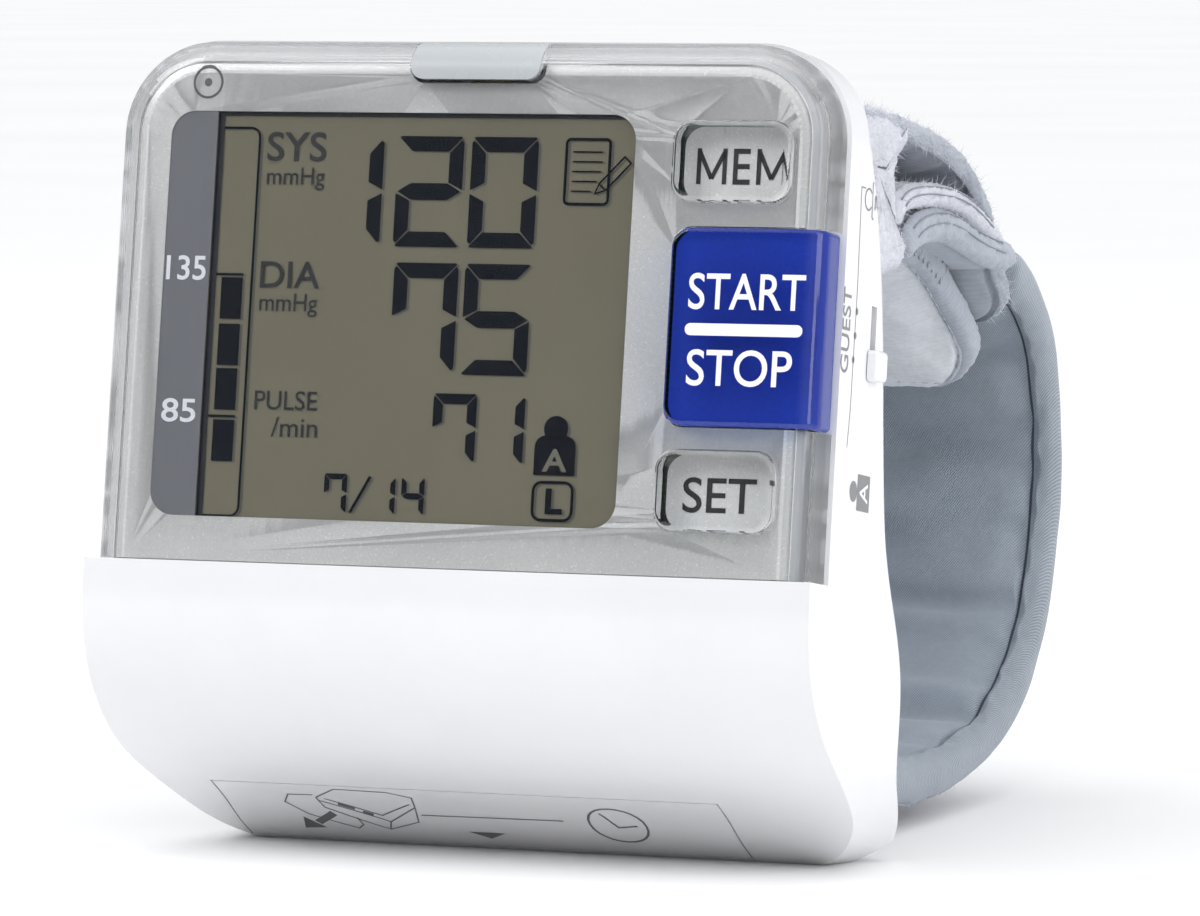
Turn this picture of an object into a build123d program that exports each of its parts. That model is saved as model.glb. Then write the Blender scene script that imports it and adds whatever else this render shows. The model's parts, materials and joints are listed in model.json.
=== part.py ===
from build123d import *
import math
import os

# Wrist blood pressure monitor with a pre-formed cuff, in millimetres.
# Everything is drawn in the device frame: X to the right as the display is read,
# Y from the display back towards the wrist, Z up the display.
# stand() then leans the device back onto its cuff and puts the origin under the
# middle of the whole thing, on the table.

# ---------------------------------------------------------------- driving sizes
LEAN = 8.5               # how far the display leans back when it stands on its cuff

CASE_WIDTH = 78.4
CASE_HEIGHT = 79.7
CASE_WALL = 2.0
CASE_TOP_CORNER = 9.8
CASE_LOW_CORNER = 10.0
FOOT_FRONT = 29.4        # flat foot under the back of the case
FOOT_BACK = 32.6
HEEL = 1.1               # bevel behind the foot
FOOT_SLOPE = math.tan(math.radians(LEAN))
FOOT_LEVEL = -0.469      # height of the foot's front edge
BROW = 3.0               # rounding of the top front edge behind the cover
BACK_CORNER = 7.0
BACK_LINE = [(-3, 33.8), (7, 33.8), (15, 33.4), (21, 32.2), (26, 29.4), (31, 26.8), (38, 25.0),
             (48, 23.3), (58, 21.2), (66, 18.4), (72, 15.2), (77, 11.6), (83, 7.5)]

COVER_WIDTH = 77.4       # clear display cover
COVER_HEIGHT = 79.35
COVER_LOW = 26.5
COVER_WALL = 1.5
COVER_CORNER = 9.5
COVER_EDGE = 3.5
COVER_SKIRT = 5.0
SEAT_LEVEL = 26.4        # top edge of the white lower front

WINDOW = (-32.7, 18.0, 31.0, 72.0)       # display window: left, right, low, high
WINDOW_CORNER = 2.6
MEM = (22.5, 34.8, 63.4, 71.3)
SET = (22.5, 34.8, 31.0, 38.9)
START = (22.9, 38.7, 41.3, 60.8)
LENS = (-6.4, 7.8, 75.2)                 # indicator lens: left, right, low
KEY_GAP = 0.15
KEY_TRAVEL = 0.7
KEY_PROUD = 0.6

PANEL_BACK = 1.8         # layers behind the cover, by distance from its face
FRAME_FRONT = 1.9
FRAME_BACK = 4.2
BOARD_FRONT = 7.0
BOARD_BACK = 8.2
SWITCH_FACE = 5.65
LCD = (-33.9, 19.2, 29.6, 72.6)
HOLDER = (-34.4, 19.9, 28.4, 72.6)

CASE_SCREWS = [(x, 75.0) for x in (-20.0, 20.0)]
CUFF_SCREWS = [(x, z) for x in (-20.0, 20.0) for z in (32.0, 62.0)]
BOARD_SCREWS = [(-35.45, 33.0), (-35.45, 64.0), (21.05, 44.0), (21.05, 60.3)]
POST_RADIUS = 1.5
CASE_POST = 7.4          # where the frame's posts meet the case's bosses

CELL_RADIUS = 5.25       # AAA cells
CELL_LENGTH = 44.5
CELL_MIDDLE = -4.0
CELL_LOW = (24.4, 10.5)
CELL_HIGH = (22.0, 21.2)

DOOR = (-32.0, 24.0, 17.6, 29.0)         # battery door: left, right, front, back
DOOR_WALL = 1.8

PUMP_AXIS = (15.2, 41.0)
VALVE_AXIS = (14.6, 41.0)
NIPPLE = (13.6, 52.4)

KNOB_Y = 13.9            # user switch on the right side wall
KNOB_Z = 48.75
KNOB_SIZE = (3.0, 3.1)
KNOB_PROUD = 1.25
KNOB_TRAVEL = 4.8

BAND_HALF = 30.5         # half width of the cuff
BLADDER_HALF = 22.5
BINDING = 2.6
BAND_SKIN = 1.3
CURLER_WALL = 0.8
BAND_WALL = 5.0
PAD_WALL = 4.0
TOP_BAND_WALL = 2.0
FLAP_START = 0.60        # where along the outer band the closing flap begins
THIN = 0.04              # room between cuff layers
BAND_INSIDE = BAND_HALF - BINDING
PAD_HALF = 26.6
PAD_INSIDE = PAD_HALF - BINDING
CORE_HALF = 25.0
LINER_START = BAND_WALL - BAND_SKIN
HINGE_ROOM = 0.0014      # half the slit at the flap's hinge, as a share of the route

OUTER_PATH = [(34.6, 8.6), (50.0, 6.5), (68.0, 7.9), (84.0, 12.7), (96.3, 21.6),
              (102.0, 34.0), (102.1, 49.0), (97.0, 61.0), (83.5, 68.6)]
TOP_PATH = [(17.6, 73.2), (25.0, 75.8), (36.0, 77.0), (48.0, 77.3), (59.0, 76.8),
            (68.0, 74.6), (74.2, 70.4), (78.5, 65.6), (84.4, 62.2), (91.2, 58.2)]
PAD_PATH = [(34.2, 15.0), (33.8, 21.0), (30.2, 30.0), (27.2, 42.0), (26.0, 54.0),
            (29.6, 62.4), (40.0, 67.0), (54.0, 68.4), (67.0, 66.4), (77.0, 61.2),
            (84.0, 57.5), (89.2, 53.6)]
PATH_POINTS = 28         # stations along a cuff layer


# ---------------------------------------------------------------- small helpers
def block(x, y, z):
    """Box between pairs of limits."""
    size = (x[1] - x[0], y[1] - y[0], z[1] - z[0])
    middle = ((x[0] + x[1]) / 2, (y[0] + y[1]) / 2, (z[0] + z[1]) / 2)
    return Pos(*middle) * Box(*size)


def plate(left, right, low, high, corner, front, back):
    """Upright rounded plate between two distances from the display face."""
    outline = Pos((left + right) / 2, (low + high) / 2) * RectangleRounded(right - left, high - low, corner)
    return extrude(Plane.XZ.offset(-front) * outline, amount=-(back - front))


def rod_x(start, end, y, z, radius):
    return Pos((start + end) / 2, y, z) * Rot(Y=90) * Cylinder(radius, end - start)


def rod_y(x, z, front, back, radius):
    return Pos(x, (front + back) / 2, z) * Rot(X=90) * Cylinder(radius, back - front)


def tube_along(points, radii, radius):
    """Round tube along straight runs joined by tangent arcs."""
    path = FilletPolyline(*points, radius=radii)
    start = Plane(origin=path @ 0, z_dir=path % 0)
    return sweep(start * Circle(radius), path=path)


def one(shape):
    """The single solid of a shape."""
    solids = shape.solids()
    return max(solids, key=lambda solid: solid.volume)


def offset_line(base, depth, start, end, count):
    """Smooth line a set depth to the left of another, between two shares of it."""
    stations = []
    for k in range(count + 1):
        share = start + (end - start) * k / count
        point = base @ share
        along = base % share
        stations.append((point.X - along.Y * depth, point.Y + along.X * depth))
    return Spline(*stations)


# ---------------------------------------------------------------- the case shell
def side_face(inset):
    """Front, foot and top of the case in the Y-Z plane; its back is cut by back_loft."""
    sweep_line = Spline((0, 25.5), (2.9, 14.6), (10.8, 8.0), (21.5, 3.2), (FOOT_FRONT, FOOT_LEVEL),
                        tangents=[(0, -1), (1, -0.36)])
    if inset:
        sweep_line = offset_line(sweep_line, inset, 0, 1, 12)
    foot_front = sweep_line @ 1
    high = CASE_HEIGHT - inset
    beyond = BACK_LINE[0][1] + 5
    if inset:
        heel = [(beyond, foot_front.Y + (beyond - foot_front.X) * FOOT_SLOPE)]
    else:
        level = FOOT_LEVEL + (FOOT_BACK - FOOT_FRONT) * FOOT_SLOPE
        heel = [(FOOT_BACK, level), (FOOT_BACK + HEEL, level + HEEL), (beyond, level + 5 * HEEL)]
    outline = Polyline(foot_front, *heel, (beyond, high), (BROW, high))
    brow = TangentArc([(BROW, high), (inset, CASE_HEIGHT - BROW)], tangent=(-1, 0))
    face_line = Line((inset, CASE_HEIGHT - BROW), sweep_line @ 0)
    return Plane.YZ * make_face(sweep_line + outline + brow + face_line)


def corner_cutter(inset, side, upper):
    """What lies outside one rounded corner of the case as seen from the front."""
    radius = (CASE_TOP_CORNER if upper else CASE_LOW_CORNER) - inset
    half = CASE_WIDTH / 2 - inset
    level = CASE_HEIGHT - inset if upper else FOOT_LEVEL - 0.2 + inset
    up = 1 if upper else -1
    centre = (side * (half - radius), level - up * radius)
    across = (side * half, centre[1])
    along = (centre[0], level)
    turn = side * up > 0
    arc = RadiusArc(across, along, -radius if turn else radius)
    rest = Polyline(along, (centre[0], level + up * 4), (side * (half + 4), level + up * 4),
                    (side * (half + 4), centre[1]), across)
    face = Plane.XZ * make_face(arc + rest)
    return extrude(face, amount=70, both=True)


def back_loft(inset):
    """Block whose back follows the case's back, with rounded upright corners."""
    half = CASE_WIDTH / 2 - inset
    sections = []
    for level, depth in BACK_LINE:
        outline = Pos(0, (depth - inset - 20) / 2) * Rectangle(2 * half, depth - inset + 20)
        back = outline.vertices().filter_by(lambda v: v.Y > 0)
        sections.append(Pos(0, 0, level) * fillet(back, BACK_CORNER - inset))
    return loft(sections)


def envelope(inset):
    body = back_loft(inset) & extrude(side_face(inset), amount=CASE_WIDTH, both=True)
    for side in (-1, 1):
        for upper in (False, True):
            body = body - corner_cutter(inset, side, upper)
    return one(body)


def main_case():
    """White body: lower front, side walls and back in one shell."""
    case = envelope(0) - envelope(CASE_WALL)
    case -= block((-60, 60), (-5, COVER_SKIRT), (SEAT_LEVEL, 90))
    case -= block(DOOR[:2], DOOR[2:], (-6, 9))
    slot_low = KNOB_Z - KNOB_SIZE[1] / 2 + 0.6
    slot_high = slot_low + KNOB_TRAVEL + KNOB_SIZE[1] - 1.2
    case -= block((34, 45), (KNOB_Y - 0.75, KNOB_Y + 0.75), (slot_low - 0.2, slot_high + 0.2))
    inside = envelope(CASE_WALL - 0.1)
    for x, z in CASE_SCREWS:
        case += rod_y(x, z, CASE_POST, 30, 2.3) & inside
        case -= rod_y(x, z, 5.0, 40, 1.25)
        case -= rod_y(x, z, CASE_POST + 3, 40, 2.3)
    for x, z in CUFF_SCREWS:
        case += rod_y(x, z, BOARD_BACK + 4.8, 40, 2.4) & inside
        case -= rod_y(x, z, BOARD_BACK + 5.8, 40, 0.95)
    case -= rod_y(NIPPLE[0], NIPPLE[1], 15, 40, 2.65)
    return one(case)



def cover_block(inset, front, back):
    """Rounded block that the cover is made from: square at its foot, rounded elsewhere."""
    half = COVER_WIDTH / 2 - inset
    high = COVER_HEIGHT - inset
    outline = Pos(0, (COVER_LOW + high) / 2) * Rectangle(2 * half, high - COVER_LOW)
    top = outline.vertices().filter_by(lambda v: v.Y > 60)
    outline = fillet(top, COVER_CORNER - inset)
    body = extrude(Plane.XZ.offset(-front) * outline, amount=-(back - front))
    rim = body.edges().filter_by(lambda e: abs((e @ 0.5).Y - front) < 0.01 and (e @ 0.5).Z > COVER_LOW + 1)
    return fillet(rim, COVER_EDGE - inset)


def key_hole(key, front, back, room):
    return plate(key[0] - room, key[1] + room, key[2] - room, key[3] + room, 2.0 + room, front, back)


def start_zone(room):
    """Space of the large key, which wraps the right edge of the cover."""
    return plate(START[0] - room, 70, START[2] - room, START[3] + room, 2.0 + room, -5, 8)


def display_cover():
    cover = cover_block(0, 0, COVER_SKIRT) - cover_block(COVER_WALL, COVER_WALL, COVER_SKIRT + 1)
    cover -= block((-60, 60), (COVER_WALL, 9), (COVER_LOW - 1, COVER_LOW + 0.01))
    for key in (MEM, SET):
        cover -= key_hole(key, -3, 4, KEY_GAP)
    cover -= start_zone(KEY_GAP)
    left, right, low = LENS
    cover -= plate(left, right, low, 90, 1.5, -3, 3.0) & block((-60, 60), (-3, 9), (0, 90))
    return one(cover)


def silver_panel():
    """Painted film behind the cover, open at the window, keys and lens."""
    film = cover_block(COVER_WALL + 0.1, COVER_WALL, COVER_SKIRT) & block((-60, 60), (0, PANEL_BACK), (0, 90))
    film -= plate(*WINDOW, WINDOW_CORNER, 0, 5)
    for key in (MEM, SET):
        film -= key_hole(key, 0, 5, KEY_GAP)
    film -= start_zone(KEY_GAP)
    left, right, low = LENS
    film -= plate(left - 0.2, right + 0.2, low - 0.2, 90, 1.5, 0, 5)
    return one(film)


def front_frame():
    """Chassis plate that carries the display and guides the keys."""
    frame = cover_block(COVER_WALL + 0.5, COVER_WALL, FRAME_BACK) & block((-60, 60), (FRAME_FRONT, 9), (0, 90))
    frame += block((-34, 34), (2.75, FRAME_BACK), (21.5, COVER_LOW + 1))
    frame -= block((LCD[0] - 0.2, LCD[1] + 0.2), (0, 9), (LCD[2] - 0.2, LCD[3] + 0.2))
    for key in (MEM, SET):
        frame -= key_hole(key, 0, 9, 0.1)
    frame -= block((START[0] - 0.2, 60), (0, 9), (START[2] - 0.2, START[3] + 0.2))
    left, right, low = LENS
    frame -= plate(left - 0.2, right + 0.2, low - 0.2, 90, 1.0, 0, 9)
    for x, z in BOARD_SCREWS:
        frame += rod_y(x, z, FRAME_BACK - 0.5, BOARD_FRONT, POST_RADIUS)
        frame -= rod_y(x, z, FRAME_BACK - 0.5, 9, 0.75)
    for x, z in CASE_SCREWS:
        frame += rod_y(x, z, FRAME_BACK - 0.5, CASE_POST, 2.2)
        frame -= rod_y(x, z, FRAME_BACK, 9, 0.95)
    return one(frame)


def lcd_glass():
    return block(LCD[:2], (2.0, FRAME_BACK), LCD[2:])


def lcd_holder():
    holder = block(HOLDER[:2], (FRAME_BACK, 5.2), HOLDER[2:])
    holder -= block((LCD[0] + 3, LCD[1] - 3), (4, 6), (LCD[2] + 3.6, LCD[3] - 6))
    holder -= block((-30, 16), (4, 6), (30.2, 31.8))
    for x, z in BOARD_SCREWS:
        holder -= rod_y(x, z, 4, 6, POST_RADIUS + 0.2)
    return one(holder)


def lcd_backlight():
    return block((LCD[0] + 3.2, LCD[1] - 3.2), (FRAME_BACK, 5.0), (LCD[2] + 3.8, LCD[3] - 6.2))


def zebra_strip():
    return block((-29.8, 15.8), (FRAME_BACK, BOARD_FRONT), (30.3, 31.7))


def main_board():
    board = plate(-37.0, 36.6, 28.2, 72.2, 1.5, BOARD_FRONT, BOARD_BACK)
    for x, z in BOARD_SCREWS:
        board -= rod_y(x, z, 6, 9, 1.15)
    return one(board)


def key_block(key, front, back):
    body = key_hole(key, front, back, 0)
    rim = body.edges().filter_by(lambda e: abs((e @ 0.5).Y - front) < 0.01)
    return fillet(rim, 0.55)


def small_key(key):
    """Clear square key with a flange behind the frame and a stem to its switch."""
    body = key_block(key, -KEY_PROUD, FRAME_BACK)
    x, z = (key[0] + key[1]) / 2, (key[2] + key[3]) / 2
    flange = FRAME_BACK + 0.7
    body += plate(key[0] - 0.9, key[1] - 0.05, key[2] - 0.9, key[3] + 0.9, 1.5, FRAME_BACK + 0.05, flange)
    body += plate(key[0] + 0.5, key[1] - 0.5, key[2] + 0.5, key[3] - 0.5, 1.5, FRAME_BACK - 0.5, flange)
    body += rod_y(x, z, FRAME_BACK, SWITCH_FACE - KEY_TRAVEL - 0.05, 1.6)
    return one(body)


def start_stop_button():
    """Large key: its face wraps round the right edge of the cover as a side wall."""
    half = COVER_WIDTH / 2 + 0.1
    body = block((START[0], half), (-KEY_PROUD, COVER_SKIRT - KEY_TRAVEL - 0.15), START[2:])
    right_edge = body.edges().filter_by(
        lambda e: abs((e @ 0.5).X - half) < 0.01 and abs((e @ 0.5).Y + KEY_PROUD) < 0.01
    )
    body = fillet(right_edge, 2.4)
    left_edges = body.edges().filter_by(
        lambda e: abs((e @ 0.5).X - START[0]) < 0.01 and abs((e % 0.5).Y) > 0.9
    )
    body = fillet(left_edges, 2.0)
    rim = body.edges().filter_by(lambda e: abs((e @ 0.5).Y + KEY_PROUD) < 0.01)
    body = fillet(rim, 0.5)
    body -= block((START[0] + 2, half - 2.2), (1.8, 9), (START[2] + 2, START[3] - 2))
    x, z = (START[0] + START[1]) / 2, (START[2] + START[3]) / 2
    body += rod_y(x, z, 1.0, SWITCH_FACE - KEY_TRAVEL - 0.05, 1.6)
    return one(body)


def key_centres():
    return [((key[0] + key[1]) / 2, (key[2] + key[3]) / 2) for key in (MEM, START, SET)]


def tact_switches():
    switches = []
    for x, z in key_centres():
        body = block((x - 2.6, x + 2.6), (SWITCH_FACE + 0.35, BOARD_FRONT), (z - 2.6, z + 2.6))
        switches.append(one(body + rod_y(x, z, SWITCH_FACE, SWITCH_FACE + 0.5, 1.2)))
    return switches


def indicator_lens():
    """Translucent lens that fills the notch in the cover's top edge."""
    left, right, low = LENS
    lens = plate(left + 0.1, right - 0.1, low + 0.1, 90, 1.4, 0, 2.9) & cover_block(0, 0, COVER_SKIRT)
    return one(lens)


def indicator_led():
    middle = (LENS[0] + LENS[1]) / 2
    led = block((middle - 1.6, middle + 1.6), (3.4, BOARD_FRONT - 0.4), (75.1, 77.3))
    legs = block((middle - 1.2, middle + 1.2), (5.6, BOARD_FRONT), (71.6, 75.3))
    return one(led + legs)


def microcontroller():
    return block((-6.5, 6.5), (BOARD_BACK, 9.7), (52.5, 65.5))


def pressure_sensor():
    body = block((9.5, 16.5), (BOARD_BACK, 11.4), (61.5, 68.5))
    return one(body + rod_y(13.0, 65.0, 11.0, 13.6, 1.2))


def buzzer():
    return one(rod_y(-22.0, 60.0, BOARD_BACK, 11.0, 6.0) - rod_y(-22.0, 60.0, 10.0, 12.0, 0.9))


def pump_motor():
    y, z = PUMP_AXIS
    body = rod_x(-31.0, -11.0, y, z, 6.0)
    body -= rod_x(-13.0, -9.0, y, z, 1.05)
    return one(body)


def pump_eccentric():
    """Motor shaft with the eccentric that drives the pump's rod."""
    y, z = PUMP_AXIS
    return one(rod_x(-12.8, -6.0, y, z, 1.0) + rod_x(-10.2, -6.0, y + 0.9, z, 2.6))


def pump_head():
    y, z = PUMP_AXIS
    head = block((-10.8, 7.5), (BOARD_BACK + 0.6, 20.8), (z - 6.2, z + 6.2))
    head -= rod_x(-12.0, -4.5, y, z, 4.0)
    head += rod_x(7.0, 10.5, y, z + 3.0, 1.3)
    return one(head)


def release_valve():
    y, z = VALVE_AXIS
    body = rod_x(13.6, 26.0, y, z, 4.6)
    body -= rod_x(17.0, 27.0, y, z, 1.05)
    return one(body)


def valve_plunger():
    y, z = VALVE_AXIS
    return one(rod_x(18.2, 28.0, y, z, 1.0) + rod_x(27.0, 28.2, y, z, 2.2))


def air_manifold():
    body = block((4.0, 18.0), (11.4, 17.4), (49.4, 55.4))
    body -= rod_y(NIPPLE[0], NIPPLE[1], 14.0, 18.0, 1.6)
    return one(body)


def air_tubes():
    """Silicone hoses from the pump, the valve and the sensor to the manifold."""
    y, z = PUMP_AXIS
    pump_hose = tube_along([(10.6, y, z + 3.0), (12.2, y, z + 3.0), (12.2, y, 49.3)], 1.2, 1.0)
    valve_hose = Pos(16.2, VALVE_AXIS[0], 47.5) * Cylinder(1.0, 3.4)
    sensor_route = [(13.0, 13.7, 65.0), (13.0, 15.4, 65.0), (13.0, 15.4, 55.5)]
    sensor_hose = tube_along(sensor_route, 1.1, 1.0)
    return [pump_hose, one(valve_hose), sensor_hose]


def cuff_nipple():
    x, z = NIPPLE
    body = rod_y(x, z, 17.5, 26.6, 2.5) + rod_y(x, z, 14.1, 18.0, 1.55)
    return one(body - rod_y(x, z, 13.0, 28.0, 0.7))


def switch_body():
    low, high = KNOB_Z - 3.6, KNOB_Z + KNOB_TRAVEL + 3.6
    body = block((31.2, 35.2), (KNOB_Y - 3.0, KNOB_Y + 3.0), (low, high))
    body -= block((33.4, 36.0), (KNOB_Y - 1.2, KNOB_Y + 1.2), (KNOB_Z - 1.3, KNOB_Z + KNOB_TRAVEL + 1.3))
    for k in range(3):
        leg = low + 1.0 + k * 4.6
        body += block((31.6, 32.4), (BOARD_BACK, KNOB_Y - 2.9), (leg, leg + 0.8))
    return one(body)


def user_switch():
    """Slide knob outside the right wall, its stem through the slot into the switch."""
    wide, tall = KNOB_SIZE
    face = CASE_WIDTH / 2
    depth, height = (KNOB_Y - wide / 2, KNOB_Y + wide / 2), (KNOB_Z - tall / 2, KNOB_Z + tall / 2)
    knob = block((face + 0.1, face + KNOB_PROUD), depth, height)
    edges = knob.edges().filter_by(lambda e: (e @ 0.5).X > face + 0.5)
    knob = fillet(edges, 0.5)
    knob += block((33.6, face + 0.3), (KNOB_Y - 0.6, KNOB_Y + 0.6), (KNOB_Z - 0.8, KNOB_Z + 0.8))
    return one(knob)


# ---------------------------------------------------------------- battery bay
def battery_box():
    """Inner walls of the battery bay; the case's back and the door close it."""
    bay = envelope(CASE_WALL + 0.05) & block((-31.4, 23.4), (14.6, 40), (-3, 29.0))
    bay -= block((-30.0, 22.0), (15.8, 40), (-5, 27.8))
    return one(bay)


def cell(place, flip):
    y, z = place
    body = rod_x(-CELL_LENGTH / 2, CELL_LENGTH / 2 - 1.0, 0, 0, CELL_RADIUS)
    body = chamfer(body.edges().filter_by(GeomType.CIRCLE), 0.4)
    body += rod_x(CELL_LENGTH / 2 - 1.2, CELL_LENGTH / 2, 0, 0, 1.9)
    return one(Pos(CELL_MIDDLE, y, z) * Rot(Z=180 if flip else 0) * body)


def coil_spring(place, side):
    """Conical contact spring, wide at the plate and narrow at the cell."""
    y, z = place
    coil = Helix(pitch=0.95, height=2.5, radius=3.4, cone_angle=-14)
    section = Plane(origin=coil @ 0, z_dir=coil % 0) * Circle(0.22)
    wire = sweep(section, path=coil, is_frenet=True)
    turned = Rot(Y=90 if side < 0 else -90) * wire
    x = CELL_MIDDLE + side * (CELL_LENGTH / 2 + 2.9)
    return Pos(x, y, z) * turned


def battery_springs():
    return [coil_spring(CELL_LOW, -1), coil_spring(CELL_HIGH, 1)]


def battery_contacts():
    plates = []
    for side in (-1, 1):
        x = CELL_MIDDLE + side * (CELL_LENGTH / 2 + 3.3)
        for place in (CELL_LOW, CELL_HIGH):
            y, z = place
            body = block((x - 0.18, x + 0.18), (y - 4.2, y + 4.2), (z - 4.2, z + 4.2))
            plus = (side > 0) == (place is CELL_LOW)
            if plus:
                ends = sorted((x, x - side * 3.2))
                body += rod_x(ends[0], ends[1], y, z, 1.8)
            plates.append(one(body))
    return plates


def battery_cover():
    left, right, front, back = DOOR
    region = block((left + 0.2, right - 0.2), (front + 0.2, back - 0.2), (-6, 9))
    door = (envelope(0) - envelope(DOOR_WALL)) & region
    return one(door)


# ---------------------------------------------------------------- fasteners
def screw(x, z, head_front, head_high, shank, radius, head_radius):
    """Screw driven from behind: its head behind, its shank towards the display."""
    head = rod_y(x, z, head_front, head_front + head_high, head_radius)
    head -= rod_y(x, z, head_front + head_high * 0.5, head_front + head_high + 1, radius * 0.55)
    return one(head + rod_y(x, z, head_front - shank, head_front + 0.1, radius))


def case_screws():
    return [screw(x, z, CASE_POST + 3, 1.4, 5.4, 0.95, 2.0) for x, z in CASE_SCREWS]


def board_screws():
    return [screw(x, z, BOARD_BACK, 1.2, 3.6, 0.75, 1.55) for x, z in BOARD_SCREWS]


def cuff_screws():
    screws = []
    for x, z in CUFF_SCREWS:
        face = back_at(z) + 0.95
        screws.append(screw(x, z, face, 1.0, 4.8, 0.95, 2.0))
    return screws


def back_at(level):
    """Depth of the case's back at a height, read off its section list."""
    for (low, near), (high, far) in zip(BACK_LINE, BACK_LINE[1:]):
        if low <= level <= high:
            return near + (far - near) * (level - low) / (high - low)
    return 0


def cuff_plate():
    """Plate that clamps the cuff to the back of the case."""
    region = block((-25, 25), (10, 45), (27.5, 70.5))
    saddle = (back_loft(-1.6) - back_loft(-0.1)) & region
    for x, z in CUFF_SCREWS:
        saddle -= rod_y(x, z, 10, 45, 2.1)
    saddle -= rod_y(NIPPLE[0], NIPPLE[1], 10, 45, 2.65)
    return one(saddle)


# ---------------------------------------------------------------- the cuff
def boundary(route, depth, start, end):
    """Line a set depth inside a cuff route, from one share of its length to another."""
    return offset_line(Spline(*route), depth, start, end, PATH_POINTS)


def layer(route, outer, inner, start, end, left, right):
    """One cuff layer between two depths, from x = left to x = right."""
    near = boundary(route, outer, start, end)
    far = boundary(route, inner, start, end)
    face = make_face(near + Line(near @ 1, far @ 1) + far + Line(far @ 0, near @ 0))
    return one(extrude(Plane.YZ.offset(left) * face, amount=right - left))


def wide_layer(route, outer, inner, start, end, half):
    return layer(route, outer, inner, start, end, -half, half)


def edge_layers(route, outer, inner, start, end, inside, outside):
    return [
        layer(route, outer, inner, start, end, -outside, -inside),
        layer(route, outer, inner, start, end, inside, outside),
    ]


def floor_height(point):
    """Height of a side-view point above the table that the device stands on."""
    rise = point.Y - FOOT_LEVEL - (point.X - FOOT_FRONT) * FOOT_SLOPE
    return rise * math.cos(math.radians(LEAN))


def cuff_crown():
    """Padded belly of the outer band, which rests on the table."""
    base = Spline(*OUTER_PATH)
    shares = [0.02 + 0.36 * k / 40 for k in range(41)]
    swell = [math.sin(math.pi * k / 40) for k in range(41)]
    room = min(floor_height(base @ s) / w for s, w in zip(shares[1:-1], swell[1:-1]))
    outside = []
    for share, w in zip(shares[::4], swell[::4]):
        point = base @ share
        along = base % share
        outside.append((point.X + along.Y * room * w, point.Y - along.X * room * w))
    low = Spline(*outside)
    high = boundary(OUTER_PATH, 0.0, shares[0], shares[-1])
    return one(extrude(Plane.YZ * make_face(low + high), amount=20, both=True))


def outer_band():
    """Outer band from the foot of the case round the wrist, and its closing flap."""
    route = OUTER_PATH
    last = FLAP_START - HINGE_ROOM
    first = FLAP_START + HINGE_ROOM
    padding = BAND_SKIN + CURLER_WALL
    return {
        "band_cover": [wide_layer(route, 0, BAND_SKIN, 0, last, BAND_INSIDE)],
        "band_curler": [wide_layer(route, BAND_SKIN + THIN, padding, 0.02, last, CORE_HALF)],
        "band_padding": [wide_layer(route, padding + THIN, LINER_START - THIN, 0.02, last, CORE_HALF)],
        "band_liner": [wide_layer(route, LINER_START, BAND_WALL, 0, last, BAND_INSIDE)],
        "band_binding": edge_layers(route, 0, BAND_WALL, 0, last, BAND_INSIDE, BAND_HALF),
        "flap_cover": [wide_layer(route, 0, BAND_SKIN, first, 1, BAND_INSIDE)],
        "flap_padding": [wide_layer(route, BAND_SKIN + THIN, LINER_START - THIN, first, 0.985, CORE_HALF)],
        "flap_liner": [wide_layer(route, LINER_START, BAND_WALL, first, 1, BAND_INSIDE)],
        "flap_binding": edge_layers(route, 0, BAND_WALL, first, 1, BAND_INSIDE, BAND_HALF),
        "hook_patch": [wide_layer(route, BAND_WALL + THIN, BAND_WALL + 0.6, 0.88, 0.98, 22.0)],
    }


def wrist_pad():
    """Inflatable pad from the back of the case over the top to the tongue at its end."""
    route = PAD_PATH
    skin, bladder = 0.9, 3.0
    cover = wide_layer(route, 0, -skin, 0, 1, PAD_INSIDE)
    cover -= rod_y(NIPPLE[0], NIPPLE[1], 17.5, 27.5, 2.55)
    return {
        "pad_cover": [one(cover)],
        "air_bladder": [wide_layer(route, -skin - THIN, -bladder + THIN, 0.03, 0.97, BLADDER_HALF)],
        "pad_liner": [wide_layer(route, -bladder, -PAD_WALL, 0, 1, PAD_INSIDE)],
        "pad_binding": edge_layers(route, 0, -PAD_WALL, 0, 1, PAD_INSIDE, PAD_HALF),
    }


# ---------------------------------------------------------------- the whole device


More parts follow.
